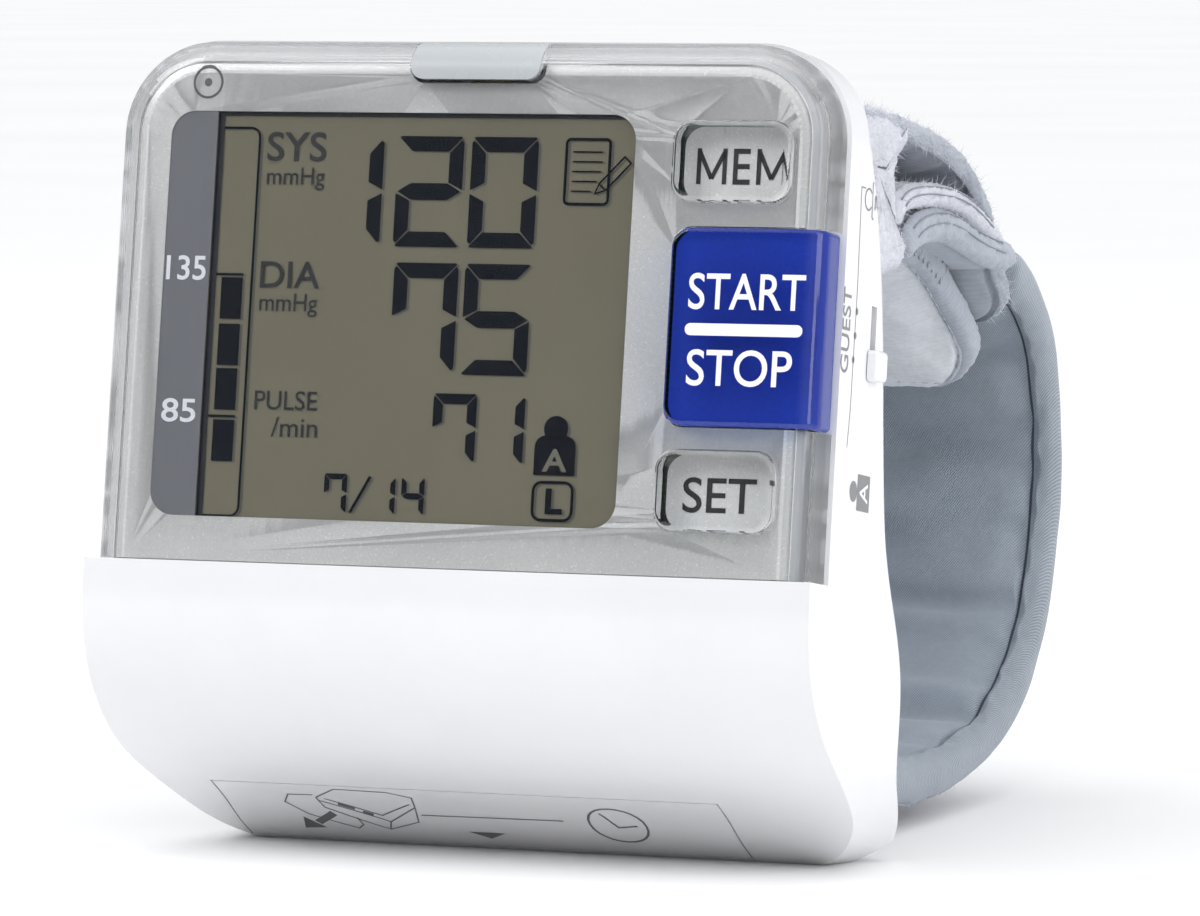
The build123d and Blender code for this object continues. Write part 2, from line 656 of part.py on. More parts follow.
def device():
    nodes = {
        "main_case": [main_case()],
        "display_cover": [display_cover()],
        "silver_panel": [silver_panel()],
        "front_frame": [front_frame()],
        "lcd_glass": [lcd_glass()],
        "lcd_holder": [lcd_holder()],
        "lcd_backlight": [lcd_backlight()],
        "zebra_strip": [zebra_strip()],
        "main_board": [main_board()],
        "mem_button": [small_key(MEM)],
        "set_button": [small_key(SET)],
        "start_stop_button": [start_stop_button()],
        "tact_switches": tact_switches(),
        "indicator_lens": [indicator_lens()],
        "indicator_led": [indicator_led()],
        "microcontroller": [microcontroller()],
        "pressure_sensor": [pressure_sensor()],
        "buzzer": [buzzer()],
        "pump_motor": [pump_motor()],
        "pump_eccentric": [pump_eccentric()],
        "pump_head": [pump_head()],
        "release_valve": [release_valve()],
        "valve_plunger": [valve_plunger()],
        "air_manifold": [air_manifold()],
        "air_tubes": air_tubes(),
        "cuff_nipple": [cuff_nipple()],
        "user_switch_body": [switch_body()],
        "user_switch": [user_switch()],
        "battery_box": [battery_box()],
        "battery_low": [cell(CELL_LOW, False)],
        "battery_high": [cell(CELL_HIGH, True)],
        "battery_springs": battery_springs(),
        "battery_contacts": battery_contacts(),
        "battery_cover": [battery_cover()],
        "case_screws": case_screws(),
        "board_screws": board_screws(),
        "cuff_screws": cuff_screws(),
        "cuff_plate": [cuff_plate()],
        "top_band": [wide_layer(TOP_PATH, 0, -TOP_BAND_WALL, 0, 1, BAND_HALF)],
        "band_crown": [cuff_crown()],
    }
    nodes.update(outer_band())
    nodes.update(wrist_pad())
    return nodes


def stand(shape, shift):
    """Lean the device back and set it over the origin."""
    return Pos(*shift) * Rot(X=-LEAN) * shape


def build():
    nodes = device()
    leaning = [Rot(X=-LEAN) * solid for solids in nodes.values() for solid in solids]
    box = Compound(children=leaning).bounding_box(optimal=True)
    shift = (-(box.min.X + box.max.X) / 2, -(box.min.Y + box.max.Y) / 2, -box.min.Z)
    return {name: [stand(solid, shift) for solid in solids] for name, solids in nodes.items()}, shift


if __name__ == "__main__":
    os.makedirs("parts", exist_ok=True)
    placed, shift = build()
    for name, solids in placed.items():
        shape = solids[0] if len(solids) == 1 else Compound(children=solids)
        export_step(shape, f"parts/{name}.step")
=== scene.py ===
import json
import math

import bmesh
import bpy
import numpy as np
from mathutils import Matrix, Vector, noise
from mathutils.bvhtree import BVHTree


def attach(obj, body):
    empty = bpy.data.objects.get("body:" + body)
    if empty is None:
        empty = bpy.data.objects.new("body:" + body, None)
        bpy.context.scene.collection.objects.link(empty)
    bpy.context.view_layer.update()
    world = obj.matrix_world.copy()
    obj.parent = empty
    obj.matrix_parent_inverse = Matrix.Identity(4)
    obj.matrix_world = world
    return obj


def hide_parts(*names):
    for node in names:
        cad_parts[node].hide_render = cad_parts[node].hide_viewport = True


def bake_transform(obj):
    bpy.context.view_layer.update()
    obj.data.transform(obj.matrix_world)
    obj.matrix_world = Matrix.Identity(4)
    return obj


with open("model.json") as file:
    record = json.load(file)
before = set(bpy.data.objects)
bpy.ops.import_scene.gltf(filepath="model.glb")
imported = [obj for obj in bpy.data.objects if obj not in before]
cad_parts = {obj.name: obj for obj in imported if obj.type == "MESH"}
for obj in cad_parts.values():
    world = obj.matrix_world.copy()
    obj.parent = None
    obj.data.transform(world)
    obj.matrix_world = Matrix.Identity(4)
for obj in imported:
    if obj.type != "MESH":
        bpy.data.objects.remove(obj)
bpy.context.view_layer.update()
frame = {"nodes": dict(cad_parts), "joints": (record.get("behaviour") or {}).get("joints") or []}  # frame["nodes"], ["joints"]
nodes = frame["nodes"]
joints = {j["name"]: j for j in frame["joints"]}
MM = 0.001

# ------------------------------------------------------------------ device frame
# x to the right of the display, y back from its face, z up it, in millimetres.
_, LEAN_COS, lean_down = joints["start_stop_press"]["axis"]
LEAN_SIN = -lean_down
PUMP_Y, PUMP_Z = 15.2, 41.0  # the pump's axis in the device frame


def along(x, y, z):
    """World direction of a direction of the device frame."""
    return Vector((x, y * LEAN_COS + z * LEAN_SIN, -y * LEAN_SIN + z * LEAN_COS))


pump = joints["pump_spin"]["pos_m"]
ORIGIN = Vector((pump[0], pump[1] - MM * (PUMP_Y * LEAN_COS + PUMP_Z * LEAN_SIN),
                 pump[2] - MM * (-PUMP_Y * LEAN_SIN + PUMP_Z * LEAN_COS)))


def at(x, y, z):
    """World place of a point of the device frame."""
    return ORIGIN + MM * along(x, y, z)


def back_to_device(place):
    """Device-frame millimetres of a world point."""
    x, y, z = (Vector(place) - ORIGIN) / MM
    return x, y * LEAN_COS - z * LEAN_SIN, y * LEAN_SIN + z * LEAN_COS


# ------------------------------------------------------------------ node materials
def add_node(tree, kind, inputs=(), **settings):
    """A node; each input is a value or another node's socket."""
    node = tree.nodes.new(kind)
    for key, value in settings.items():
        setattr(node, key, value)
    for key, value in dict(inputs).items():
        if isinstance(value, bpy.types.NodeSocket):
            tree.links.new(value, node.inputs[key])
        else:
            node.inputs[key].default_value = value
    return node


class Shade:
    """A Principled material and short calls for the nodes that feed it."""

    def __init__(self, name, **values):
        self.mat = bpy.data.materials.new(name)
        self.mat.use_nodes = True
        self.tree = self.mat.node_tree
        self.shader = self.tree.nodes["Principled BSDF"]
        for key, value in values.items():
            self.shader.inputs[key.replace("_", " ")].default_value = value

    def add(self, kind, inputs=(), **settings):
        return add_node(self.tree, kind, inputs, **settings)

    def link(self, source, name):
        self.tree.links.new(source, self.shader.inputs[name])

    def place(self, scale=(1, 1, 1), turn=(0, 0, 0), attribute=None):
        """Where a point is on the piece, in metres, or a stored coordinate."""
        if attribute:
            source = self.add("ShaderNodeAttribute", attribute_name=attribute).outputs["Vector"]
        else:
            source = self.add("ShaderNodeTexCoord").outputs["Object"]
        return self.add("ShaderNodeMapping", {"Vector": source, "Scale": scale, "Rotation": turn}).outputs[0]

    def noise(self, scale, detail=2.0, rough=0.5, vector=None):
        return self.add("ShaderNodeTexNoise", {"Vector": vector or self.place(), "Scale": scale,
                                               "Detail": detail, "Roughness": rough}).outputs["Fac"]

    def cells(self, scale, output="Distance"):
        return self.add("ShaderNodeTexVoronoi", {"Vector": self.place(), "Scale": scale}).outputs[output]

    def ramp(self, fac, stops):
        node = self.add("ShaderNodeValToRGB", {"Fac": fac})
        ramp = node.color_ramp
        while len(ramp.elements) < len(stops):
            ramp.elements.new(0.5)
        for element, (where, colour) in zip(ramp.elements, stops):
            element.position = where
            element.color = (*colour, 1)
        return node.outputs["Color"]

    def span(self, fac, low, high, start=0.0, end=1.0):
        return self.add("ShaderNodeMapRange", {"Value": fac, "From Min": start, "From Max": end,
                                               "To Min": low, "To Max": high}).outputs[0]

    def mix(self, share, a, b, blend="MIX"):
        inputs = {0: share, 6: a, 7: b}
        return self.add("ShaderNodeMix", inputs, data_type="RGBA", blend_type=blend).outputs[2]

    def colour(self, fac, *stops):
        """Base colour from a ramp."""
        self.link(self.ramp(fac, stops), "Base Color")

    def mixed_colour(self, share, base, fac, *stops, blend="MIX"):
        """Base colour from another colour and a ramp."""
        self.link(self.mix(share, base, self.ramp(fac, stops), blend), "Base Color")

    def rough(self, fac, low, high):
        self.link(self.span(fac, low, high), "Roughness")

    def bump(self, height, strength, distance):
        """A bump on top of what already feeds the normal."""
        inputs = {"Height": height, "Strength": strength, "Distance": distance}
        found = self.shader.inputs["Normal"].links
        if found:
            inputs["Normal"] = found[0].from_socket
        self.link(self.add("ShaderNodeBump", inputs).outputs[0], "Normal")

    def true_normal(self):
        """Flat faces shade flat."""
        self.link(self.add("ShaderNodeNewGeometry").outputs["True Normal"], "Normal")

    def lets_lamps_through(self, tint):
        """Lamps light what is behind the clear material."""
        path = self.add("ShaderNodeLightPath").outputs["Is Shadow Ray"]
        clear = self.add("ShaderNodeBsdfTransparent", {"Color": tint}).outputs[0]
        both = self.add("ShaderNodeMixShader", {0: path, 1: self.shader.outputs[0], 2: clear})
        self.tree.links.new(both.outputs[0], self.tree.nodes["Material Output"].inputs[0])


def grey(value):
    return (value, value, value)


def times(colour, share):
    return tuple(share * c for c in colour)


def moulded(name, colour, rough=0.35, grain=1800, bump=0.05, **more):
    """Moulded plastic: faint flow marks in the colour, fine grain in the surface."""
    s = Shade(name, **more)
    s.colour(s.noise(60, 3, 0.6), (0.3, times(colour, 0.96)), (0.7, colour))
    s.rough(s.noise(220, 4, 0.65), rough - 0.06, rough + 0.06)
    s.bump(s.noise(grain, 2), bump, 0.00002)
    return s.mat


def metal(name, colour, rough=0.3, streak=(1, 1, 40)):
    s = Shade(name, Metallic=1.0)
    lines = s.noise(700, 3, 0.6, s.place(streak))
    s.colour(lines, (0.35, times(colour, 0.82)), (0.65, colour))
    s.rough(lines, rough - 0.08, rough + 0.1)
    s.bump(lines, 0.08, 0.00002)
    return s.mat


def white_abs():
    """Glossy white body plastic with a cool cast, hairline wear and handling haze."""
    s = Shade("white_abs", Coat_Weight=0.35, Coat_Roughness=0.06, IOR=1.5)
    s.colour(s.noise(45, 4, 0.6), (0.3, (0.80, 0.80, 0.825)), (0.7, (0.84, 0.84, 0.86)))
    s.rough(s.noise(260, 5, 0.7), 0.16, 0.3)
    s.bump(s.noise(900, 2), 0.03, 0.00003)
    return s.mat


def clear_acrylic(name, tint, rough, frosted=None):
    """Clear plastic; frosted is how far back from the display's face its sides turn grey and matt."""
    s = Shade(name, Base_Color=(*tint, 1), Transmission_Weight=1.0, IOR=1.49)
    polish = s.span(s.noise(120, 4, 0.7), rough, rough + 0.006)
    if frosted:
        back = s.add("ShaderNodeVectorMath", {0: s.place(), 1: along(0, 1, 0)},
                     operation="DOT_PRODUCT").outputs["Value"]
        start = at(0, frosted, 0).dot(along(0, 1, 0))
        matt = s.span(back, 0.0, 0.4, start, start + 0.0008)
        polish = s.add("ShaderNodeMath", {0: polish, 1: matt}, operation="ADD").outputs[0]
        deep = s.span(back, 0.0, 1.0, start - 0.0008, start + 0.001)
        s.colour(deep, (0.0, tint), (1.0, (0.62, 0.625, 0.635)))
    s.link(polish, "Roughness")
    s.true_normal()
    s.lets_lamps_through((*times(tint, 0.97), 1))
    return s.mat


def flake_paint():
    """Silver-grey paint with fine bright flakes under the clear cover."""
    s = Shade("flake_paint", Metallic=0.12)
    fleck = s.add("ShaderNodeSeparateColor", {0: s.cells(7500, "Color")}).outputs[0]
    body = s.ramp(fleck, [(0.0, grey(0.66)), (0.55, grey(0.70)), (0.95, grey(0.73)), (1.0, grey(0.88))])
    s.mixed_colour(1.0, body, s.noise(90, 3), (0.3, grey(0.93)), (0.7, grey(1.0)), blend="MULTIPLY")
    s.rough(fleck, 0.5, 0.3)
    s.true_normal()
    s.bump(fleck, 0.12, 0.00003)
    return s.mat


def lcd_film():
    """Olive-grey reflective display with a faint grain and uneven tone."""
    s = Shade("lcd_film", Specular_IOR_Level=0.3)
    grain = s.noise(4200, 2, 0.7)
    base = s.ramp(s.noise(35, 3, 0.5), [(0.25, (0.178, 0.163, 0.116)), (0.75, (0.204, 0.188, 0.136))])
    s.mixed_colour(1.0, base, grain, (0.35, grey(0.93)), (0.65, grey(1.0)), blend="MULTIPLY")
    s.rough(grain, 0.45, 0.6)
    s.bump(grain, 0.05, 0.00001)
    return s.mat


def ink(name, colour, vary=0.12, rough=0.5, **more):
    """Screen-printed ink, dyed thread, and flat dark sheets for painted shadow: slightly uneven cover."""
    s = Shade(name, **more)
    cover = s.noise(2600, 3, 0.6)
    s.colour(cover, (0.4, colour), (0.75, tuple(min(1.0, c * (1 + vary) + 0.004) for c in colour)))
    s.rough(cover, rough - 0.1, rough + 0.1)
    return s.mat


def circuit_board():
    s = Shade("circuit_board", Coat_Weight=0.4, Coat_Roughness=0.15)
    bricks = s.add("ShaderNodeTexBrick", {
        "Vector": s.place(turn=(math.radians(90), 0, 0)), "Scale": 420, "Mortar Size": 0.03,
        "Color1": (0.02, 0.16, 0.07, 1), "Color2": (0.025, 0.2, 0.09, 1), "Mortar": (0.05, 0.3, 0.13, 1)})
    s.link(bricks.outputs["Color"], "Base Color")
    s.rough(s.noise(300, 3), 0.3, 0.45)
    s.bump(bricks.outputs["Fac"], 0.2, 0.00003)
    return s.mat


def cell_sleeve():
    """Printed sleeve of a plain battery: grey with a copper end band."""
    s = Shade("cell_sleeve", Metallic=0.6, Coat_Weight=0.3)
    across = s.add("ShaderNodeSeparateXYZ", {0: s.place()}).outputs[0]
    sleeve, copper = (0.10, 0.11, 0.13), (0.55, 0.27, 0.12)
    bands = s.ramp(s.span(across, 0, 1, -0.0265, 0.0185), [(0.0, sleeve), (0.70, sleeve), (0.71, copper)])
    s.mixed_colour(0.25, bands, s.noise(500, 3), (0.4, grey(0.1)), (0.6, grey(0.5)))
    s.rough(s.noise(250, 3), 0.25, 0.4)
    return s.mat


def translucent_lens():
    s = Shade("translucent_lens", IOR=1.45)
    s.colour(s.noise(90, 2), (0.3, (0.43, 0.455, 0.475)), (0.7, (0.46, 0.485, 0.505)))
    s.rough(s.noise(400, 3), 0.24, 0.3)
    return s.mat


def floor_paint():
    s = Shade("floor_paint", Specular_IOR_Level=0.1)
    s.colour(s.noise(3, 2), (0.3, grey(0.90)), (0.7, grey(0.93)))
    s.rough(s.noise(40, 2), 0.75, 0.85)
    return s.mat


WHITE = white_abs()
CLEAR = clear_acrylic("clear_acrylic", (0.985, 0.992, 0.995), 0.015, frosted=1.3)
WATER_CLEAR = clear_acrylic("clear_key", (0.97, 0.985, 0.99), 0.01)
BLUE = clear_acrylic("blue_acrylic", (0.50, 0.66, 0.98), 0.02)
PAINT = flake_paint()
FILM = lcd_film()
DARK_INK = ink("dark_ink", (0.016, 0.017, 0.019))
SOFT_INK = ink("soft_ink", (0.10, 0.11, 0.115))
WALL_INK = ink("wall_ink", (0.22, 0.225, 0.235))
DOOR_INK = ink("door_ink", (0.13, 0.133, 0.14))
WHITE_INK = ink("white_ink", (0.86, 0.87, 0.92), vary=0.05)
BLUE_INK = ink("blue_ink", (0.003, 0.032, 0.31), vary=0.15)
STRIP_INK = ink("strip_ink", (0.160, 0.166, 0.186), vary=0.05)
CRYSTAL = ink("crystal", (0.004, 0.006, 0.012), Specular_IOR_Level=0.1)
CRYSTAL_SHADE = ink("crystal_shade", (0.088, 0.084, 0.066))
# Near-black sheet of painted shadow: the shadow line along the LCD window's left and top edges.
WINDOW_SHADOW = ink("painted_window_shadow", (0.012, 0.015, 0.022), rough=0.45)
FILM_INK = ink("film_ink", (0.165, 0.158, 0.120), vary=0.05)

# ------------------------------------------------------------------ CAD node materials
CARRIED = {
    "main_case": WHITE,
    "battery_cover": WHITE,
    "user_switch": WHITE,
    "display_cover": CLEAR,
    "mem_button": WATER_CLEAR,
    "set_button": WATER_CLEAR,
    "start_stop_button": BLUE,
    "silver_panel": PAINT,
    "indicator_lens": translucent_lens(),
    "lcd_glass": FILM,
    "main_board": circuit_board(),
    "battery_low": cell_sleeve(),
    "battery_high": cell_sleeve(),
}
MOULDED = {  # node: material name, colour, roughness
    "front_frame": ("frame_plastic", (0.40, 0.41, 0.43), 0.4),
    "lcd_holder": ("holder_plastic", (0.72, 0.72, 0.69), 0.45),
    "zebra_strip": ("elastomer", (0.08, 0.08, 0.09), 0.6),
    "tact_switches": ("switch_black", grey(0.03), 0.4),
    "pressure_sensor": ("sensor_body", (0.75, 0.75, 0.73), 0.45),
    "buzzer": ("buzzer_black", grey(0.03), 0.5),
    "pump_head": ("pump_plastic", (0.72, 0.71, 0.66), 0.45),
    "air_manifold": ("manifold_plastic", (0.78, 0.77, 0.72), 0.45),
    "cuff_nipple": ("nipple_plastic", grey(0.7), 0.4),
    "user_switch_body": ("slider_body", (0.05, 0.05, 0.055), 0.45),
    "battery_box": ("bay_plastic", (0.78, 0.78, 0.79), 0.4),
    "cuff_plate": ("plate_plastic", (0.62, 0.63, 0.66), 0.4),
    "band_curler": ("curler_sheet", (0.82, 0.83, 0.84), 0.3),
}
METALS = {  # node: material name, colour, roughness
    "pump_eccentric": ("shaft_steel", grey(0.6), 0.25),
    "release_valve": ("valve_can", (0.6, 0.6, 0.62), 0.35),
    "valve_plunger": ("pin_steel", (0.65, 0.65, 0.66), 0.2),
    "battery_springs": ("spring_nickel", (0.72, 0.71, 0.68), 0.25),
    "battery_contacts": ("contact_nickel", (0.72, 0.71, 0.68), 0.3),
    "case_screws": ("case_screw_steel", (0.55, 0.55, 0.56), 0.3),
    "board_screws": ("board_screw_steel", (0.55, 0.55, 0.56), 0.3),
    "cuff_screws": ("cuff_screw_steel", (0.55, 0.55, 0.56), 0.3),
}
CARRIED |= {node: moulded(*row) for node, row in MOULDED.items()}
CARRIED |= {node: metal(*row) for node, row in METALS.items()}
CARRIED |= {
    "pump_motor": metal("motor_can", (0.62, 0.62, 0.63), 0.3, streak=(40, 1, 1)),
    "microcontroller": moulded("chip_epoxy", (0.025, 0.025, 0.028), 0.5, grain=3000, bump=0.2),
    "lcd_backlight": moulded("diffuser", (0.85, 0.88, 0.78), 0.5, Transmission_Weight=0.2),
    "indicator_led": moulded("led_resin", (0.9, 0.72, 0.35), 0.15, Transmission_Weight=0.5),
    "air_tubes": moulded("silicone", (0.8, 0.8, 0.77), 0.5, Transmission_Weight=0.3),
}
for node, finish in CARRIED.items():
    nodes[node].data.materials[0] = finish


# ------------------------------------------------------------------ meshes
def mesh_piece(name, points, faces, finish, body=None, smooth=False):
    """A piece from world points, with its body where it has one."""
    mesh = bpy.data.meshes.new(name)
    mesh.from_pydata([tuple(p) for p in points], [], faces)
    mesh.materials.append(finish)
    mesh.polygons.foreach_set("use_smooth", [smooth] * len(faces))
    mesh.update()
    piece = bpy.data.objects.new(name, mesh)
    bpy.context.scene.collection.objects.link(piece)
    if body:
        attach(piece, body)
    return piece


class Print:
    """Flat artwork: filled outlines, strokes and lettering in a plane's own two axes."""

    def __init__(self):
        self.points = []
        self.faces = []

    def fill(self, outline):
        first = len(self.points)
        self.points += list(outline)
        self.faces.append(list(range(first, len(self.points))))

    def box(self, left, right, low, high):
        self.fill([(left, low), (right, low), (right, high), (left, high)])

    def stroke(self, line, width, closed=False, step=None):
        """A line of even width with mitred corners; step is the longest run of one quad."""
        points = [np.array(p, float) for p in line]
        if step:
            points = evened(points, step, closed)
        count = len(points)
        sides = []
        for k, point in enumerate(points):
            a = point - points[k - 1] if closed or k else np.zeros(2)
            b = points[(k + 1) % count] - point if closed or k < count - 1 else a
            a = a if a.any() else b
            a, b = a / np.linalg.norm(a), b / np.linalg.norm(b)
            way = (a + b) / np.linalg.norm(a + b)
            off = width / 2 / max(0.5, float(way @ a)) * np.array((-way[1], way[0]))
            sides.append((tuple(point + off), tuple(point - off)))
        for k in range(count if closed else count - 1):
            (a, b), (c, d) = sides[k], sides[(k + 1) % count]
            self.fill([a, b, d, c])

    def disc(self, x, y, radius, count=28):
        self.fill(arc(x, y, radius, 0, 360 * (count - 1) / count, count))

    def text(self, words, box, weight, turn=0):
        """Plain lettering that fills a box (left, right, low, high)."""
        curve = bpy.data.curves.new("lettering", "FONT")
        curve.body = words
        curve.offset = weight
        curve.resolution_u = 6
        piece = bpy.data.objects.new("lettering", curve)
        mesh = bpy.data.meshes.new_from_object(piece)
        co = np.array([v.co[:2] for v in mesh.vertices], float)
        if turn:
            co = np.column_stack([-co[:, 1], co[:, 0]])
        co -= co.min(0)
        co /= co.max(0)
        low, high = np.array((box[0], box[2])), np.array((box[1], box[3]))
        first = len(self.points)
        self.points += [tuple(p) for p in low + co * (high - low)]
        self.faces += [[first + i for i in face.vertices] for face in mesh.polygons]
        bpy.data.objects.remove(piece)
        bpy.data.meshes.remove(mesh)

    def build(self, name, finish, body, place, slot, shift=(0, 0)):
        """The artwork as a piece; place maps its two axes into the world."""
        points = [place(p[0] + shift[0], p[1] + shift[1]) for p in self.points]
        mesh_piece(name, points, self.faces, finish, body)


def arc(x, y, radius, start, end, count=8):
    angles = np.radians(np.linspace(start, end, count))
    return [(x + radius * math.cos(a), y + radius * math.sin(a)) for a in angles]


def rounded(left, right, low, high, radius, count=8):
    line = []
    for x, y, start in ((right - radius, high - radius, 0), (left + radius, high - radius, 90),
                        (left + radius, low + radius, 180), (right - radius, low + radius, 270)):
        line += arc(x, y, radius, start, start + 90, count)
    return line


def evened(points, step, closed=False):
    """The same line with no run longer than step."""
    line = []
    count = len(points)
    for k in range(count if closed else count - 1):
        a, b = points[k], points[(k + 1) % count]
        parts = max(1, int(np.ceil(np.linalg.norm(b - a) / step)))
        line += [a + (b - a) * i / parts for i in range(parts)]
    return line if closed else line + [points[-1]]


def facing(y):
    """Artwork plane parallel to the display, y back from its face."""
    return lambda x, z: at(x, y, z)


def surface_of(*names):
    points, faces = [], []
    for name in names:
        mesh = nodes[name].data
        first = len(points)
        points += [v.co.copy() for v in mesh.vertices]
        faces += [[first + i for i in p.vertices] for p in mesh.polygons]
    return BVHTree.FromPolygons(points, faces)


def onto(tree, start, direction, reach, proud=0.03):
    """Artwork projected on a surface along a device direction; where a ray misses, it stays on a plane."""
    way = along(*direction)
    farthest, plane = (reach + 9) * MM, (reach - 1.2) * MM

    def place(a, b):
        origin = at(*start(a, b))
        hit = tree.ray_cast(origin, way, farthest)[0]
        return (hit or origin + way * plane) - way * proud * MM

    return place


# ------------------------------------------------------------------ display
# How far back from the cover's face each print and the window's painted shadow line lie.
FILM_FRONT = 2.0
WINDOW_SHADOW_Y = 1.92
SCALE_Y = 1.6
NUMBERS_Y = 1.56
MARK_Y = 1.47
SHADE_SHIFT = (0.28, -0.12)  # of the segments' shadow on the film
STROKES = {"0": "abcdef", "1": "bc", "2": "abged", "4": "fgbc", "5": "afgcd", "7": "abcf"}
DIGITS = (  # left, right, low, high, bar width
    ("1", -11.6, -9.25, 58.6, 69.6, 1.62), ("2", -7.75, -0.55, 58.6, 69.7, 1.62),
    ("0", 0.3, 7.5, 58.6, 69.7, 1.62),
    ("7", -7.4, -0.4, 45.9, 57.0, 1.62), ("5", 0.3, 7.5, 45.9, 57.0, 1.62),
    ("7", -2.3, 2.4, 37.0, 44.0, 1.1), ("1", 4.6, 7.6, 37.0, 44.0, 1.1),
    ("7", -13.7, -11.2, 31.7, 35.7, 0.6), ("1", -7.8, -5.9, 31.7, 35.5, 0.6),
    ("4", -5.25, -2.75, 31.7, 35.6, 0.6))
LABELS = (
    ("SYS", (-22.1, -15.6, 67.0, 70.0), 0.012), ("mmHg", (-22.0, -15.6, 64.1, 66.4), 0.006),
    ("DIA", (-22.1, -15.5, 54.2, 56.9), 0.012), ("mmHg", (-22.0, -15.6, 51.3, 53.65), 0.006),
    ("PULSE", (-21.9, -15.0, 41.9, 43.85), 0.006), ("/min", (-19.9, -14.8, 39.2, 41.2), 0.006))


def digit(art, shape, left, right, low, high, t):
    """Seven-segment digit: bars with bevelled ends and hairline gaps."""
    mid = (low + high) / 2
    gap, half, bevel = 0.055 * t, 0.52 * t, 0.16 * t

    def below(outline):
        return [(x, low + high - z) for x, z in outline]

    bars = {
        "a": [(left + 2 * gap, high - bevel / 2), (left + bevel + gap, high), (right - bevel - gap, high),
              (right - 2 * gap, high - bevel / 2), (right - t, high - t + gap), (left + t, high - t + gap)],
        "f": [(left, mid + 2 * gap), (left + t - gap, mid + half + gap), (left + t - gap, high - t - gap),
              (left + bevel, high - bevel - gap), (left, high - 2.4 * bevel)],
        "g": [(left + 2 * gap, mid), (left + t, mid + half), (right - t, mid + half),
              (right - 2 * gap, mid), (right - t, mid - half), (left + t, mid - half)],
    }
    bars["b"] = [(left + right - x, z) for x, z in bars["f"]]
    for lower, upper in (("d", "a"), ("e", "f"), ("c", "b")):
        bars[lower] = below(bars[upper])
    for name in STROKES[shape]:
        art.fill(bars[name])


def note_icon(art):
    """Written page with a pencil."""
    art.stroke(rounded(10.5, 15.15, 63.1, 69.55, 0.45), 0.3, closed=True)
    for k, right in enumerate((14.4, 14.4, 14.3, 13.9, 13.3)):
        z = 68.3 - k * 0.98
        art.stroke([(11.2, z), (right, z)], 0.15)
    art.stroke([(13.75, 64.15), (14.15, 65.15), (16.75, 67.85), (17.45, 67.2), (14.85, 64.5)],
               0.17, closed=True)
    art.stroke([(14.15, 65.15), (14.85, 64.5)], 0.15)


def user_icons(art):
    """User figure, and a letter in a rounded frame."""
    art.disc(11.05, 40.75, 1.3)
    art.fill([(8.85, 36.15), (13.25, 36.15), (13.25, 38.9)] + arc(12.05, 38.9, 1.2, 0, 90)
             + arc(10.05, 38.9, 1.2, 90, 180))
    art.stroke(rounded(8.95, 13.15, 31.7, 35.45, 0.9), 0.3, closed=True)
    art.fill([(10.3, 32.3), (12.15, 32.3), (12.15, 32.85), (10.95, 32.85), (10.95, 34.85), (10.3, 34.85)])


def bar_scale(art):
    """Column of pressure bars with its bracket."""
    for low in (51.0, 46.3, 41.8, 36.6):
        art.box(-26.35, -24.0, low, low + 4.2)
    for z in (55.5, 41.15):
        art.stroke([(-27.0, z), (-23.95, z)], 0.26)
    art.stroke([(-27.0, 70.35)] + arc(-24.0, 69.35, 1.0, 90, 0) + arc(-24.0, 32.1, 1.0, 0, -90)
               + [(-27.0, 31.1)], 0.26)


def display_prints():
    art = Print()
    for row in DIGITS:
        digit(art, *row)
    art.stroke([(-10.75, 31.8), (-8.7, 35.5)], 0.32)  # stroke of the date
    bar_scale(art)
    note_icon(art)
    user_icons(art)
    art.build("lcd_segments", CRYSTAL, "device", facing(FILM_FRONT - 0.06), "lcd_glass")
    art.build("lcd_segment_shade", CRYSTAL_SHADE, "device", facing(FILM_FRONT - 0.02), "lcd_glass",
              SHADE_SHIFT)
    art = Print()
    for label in LABELS:
        art.text(*label)
    art.build("lcd_labels", DARK_INK, "device", facing(FILM_FRONT - 0.07), "lcd_glass")
    art = Print()
    art.text("A", (9.75, 12.4, 36.5, 38.75), 0.02)
    art.build("lcd_user_letter", FILM_INK, "device", facing(FILM_FRONT - 0.08), "lcd_glass")


def panel_prints():
    """Scale strip beside the window, its numbers, and a painted shadow line at the window's left and top
    edges.
    """
    art = Print()
    art.fill([(-27.6, 31.0), (-27.6, 72.0)] + arc(-30.1, 69.4, 2.6, 90, 180)
             + arc(-30.1, 33.6, 2.6, 180, 270))
    art.build("scale_strip", STRIP_INK, "device", facing(SCALE_Y), "silver_panel")
    art = Print()
    # Painted shadow line along the window's left and top edges.
    art.fill([(-27.6, 31.0), (-26.95, 31.0), (-26.95, 71.55), (18.0, 71.55), (18.0, 72.0), (-27.6, 72.0)])
    art.build("window_shadow_line", WINDOW_SHADOW, "device", facing(WINDOW_SHADOW_Y), "front_frame")
    art = Print()
    art.text("135", (-32.4, -28.0, 54.8, 57.3), 0.012)
    art.text("85", (-32.0, -28.2, 40.4, 42.8), 0.012)
    art.build("scale_numbers", WHITE_INK, "device", facing(NUMBERS_Y), "silver_panel")


def ring_mark():
    """Plain ring with a dot in the panel's top left corner."""
    art = Print()
    art.stroke(arc(-28.9, 74.9, 1.55, 0, 345, 24), 0.26, closed=True)
    art.disc(-28.9, 74.9, 0.42)
    art.build("panel_mark", SOFT_INK, "device", facing(MARK_Y), "silver_panel")


def hull(points):
    """Convex outline of flat points, in order."""
    points = sorted(set(points))
    halves = []
    for run in (points, points[::-1]):
        half = []
        for p in run:
            while len(half) > 1 and ((half[-1][0] - half[-2][0]) * (p[1] - half[-2][1])
                                     <= (half[-1][1] - half[-2][1]) * (p[0] - half[-2][0])):
                half.pop()
            half.append(p)
        halves += half[:-1]
    return halves


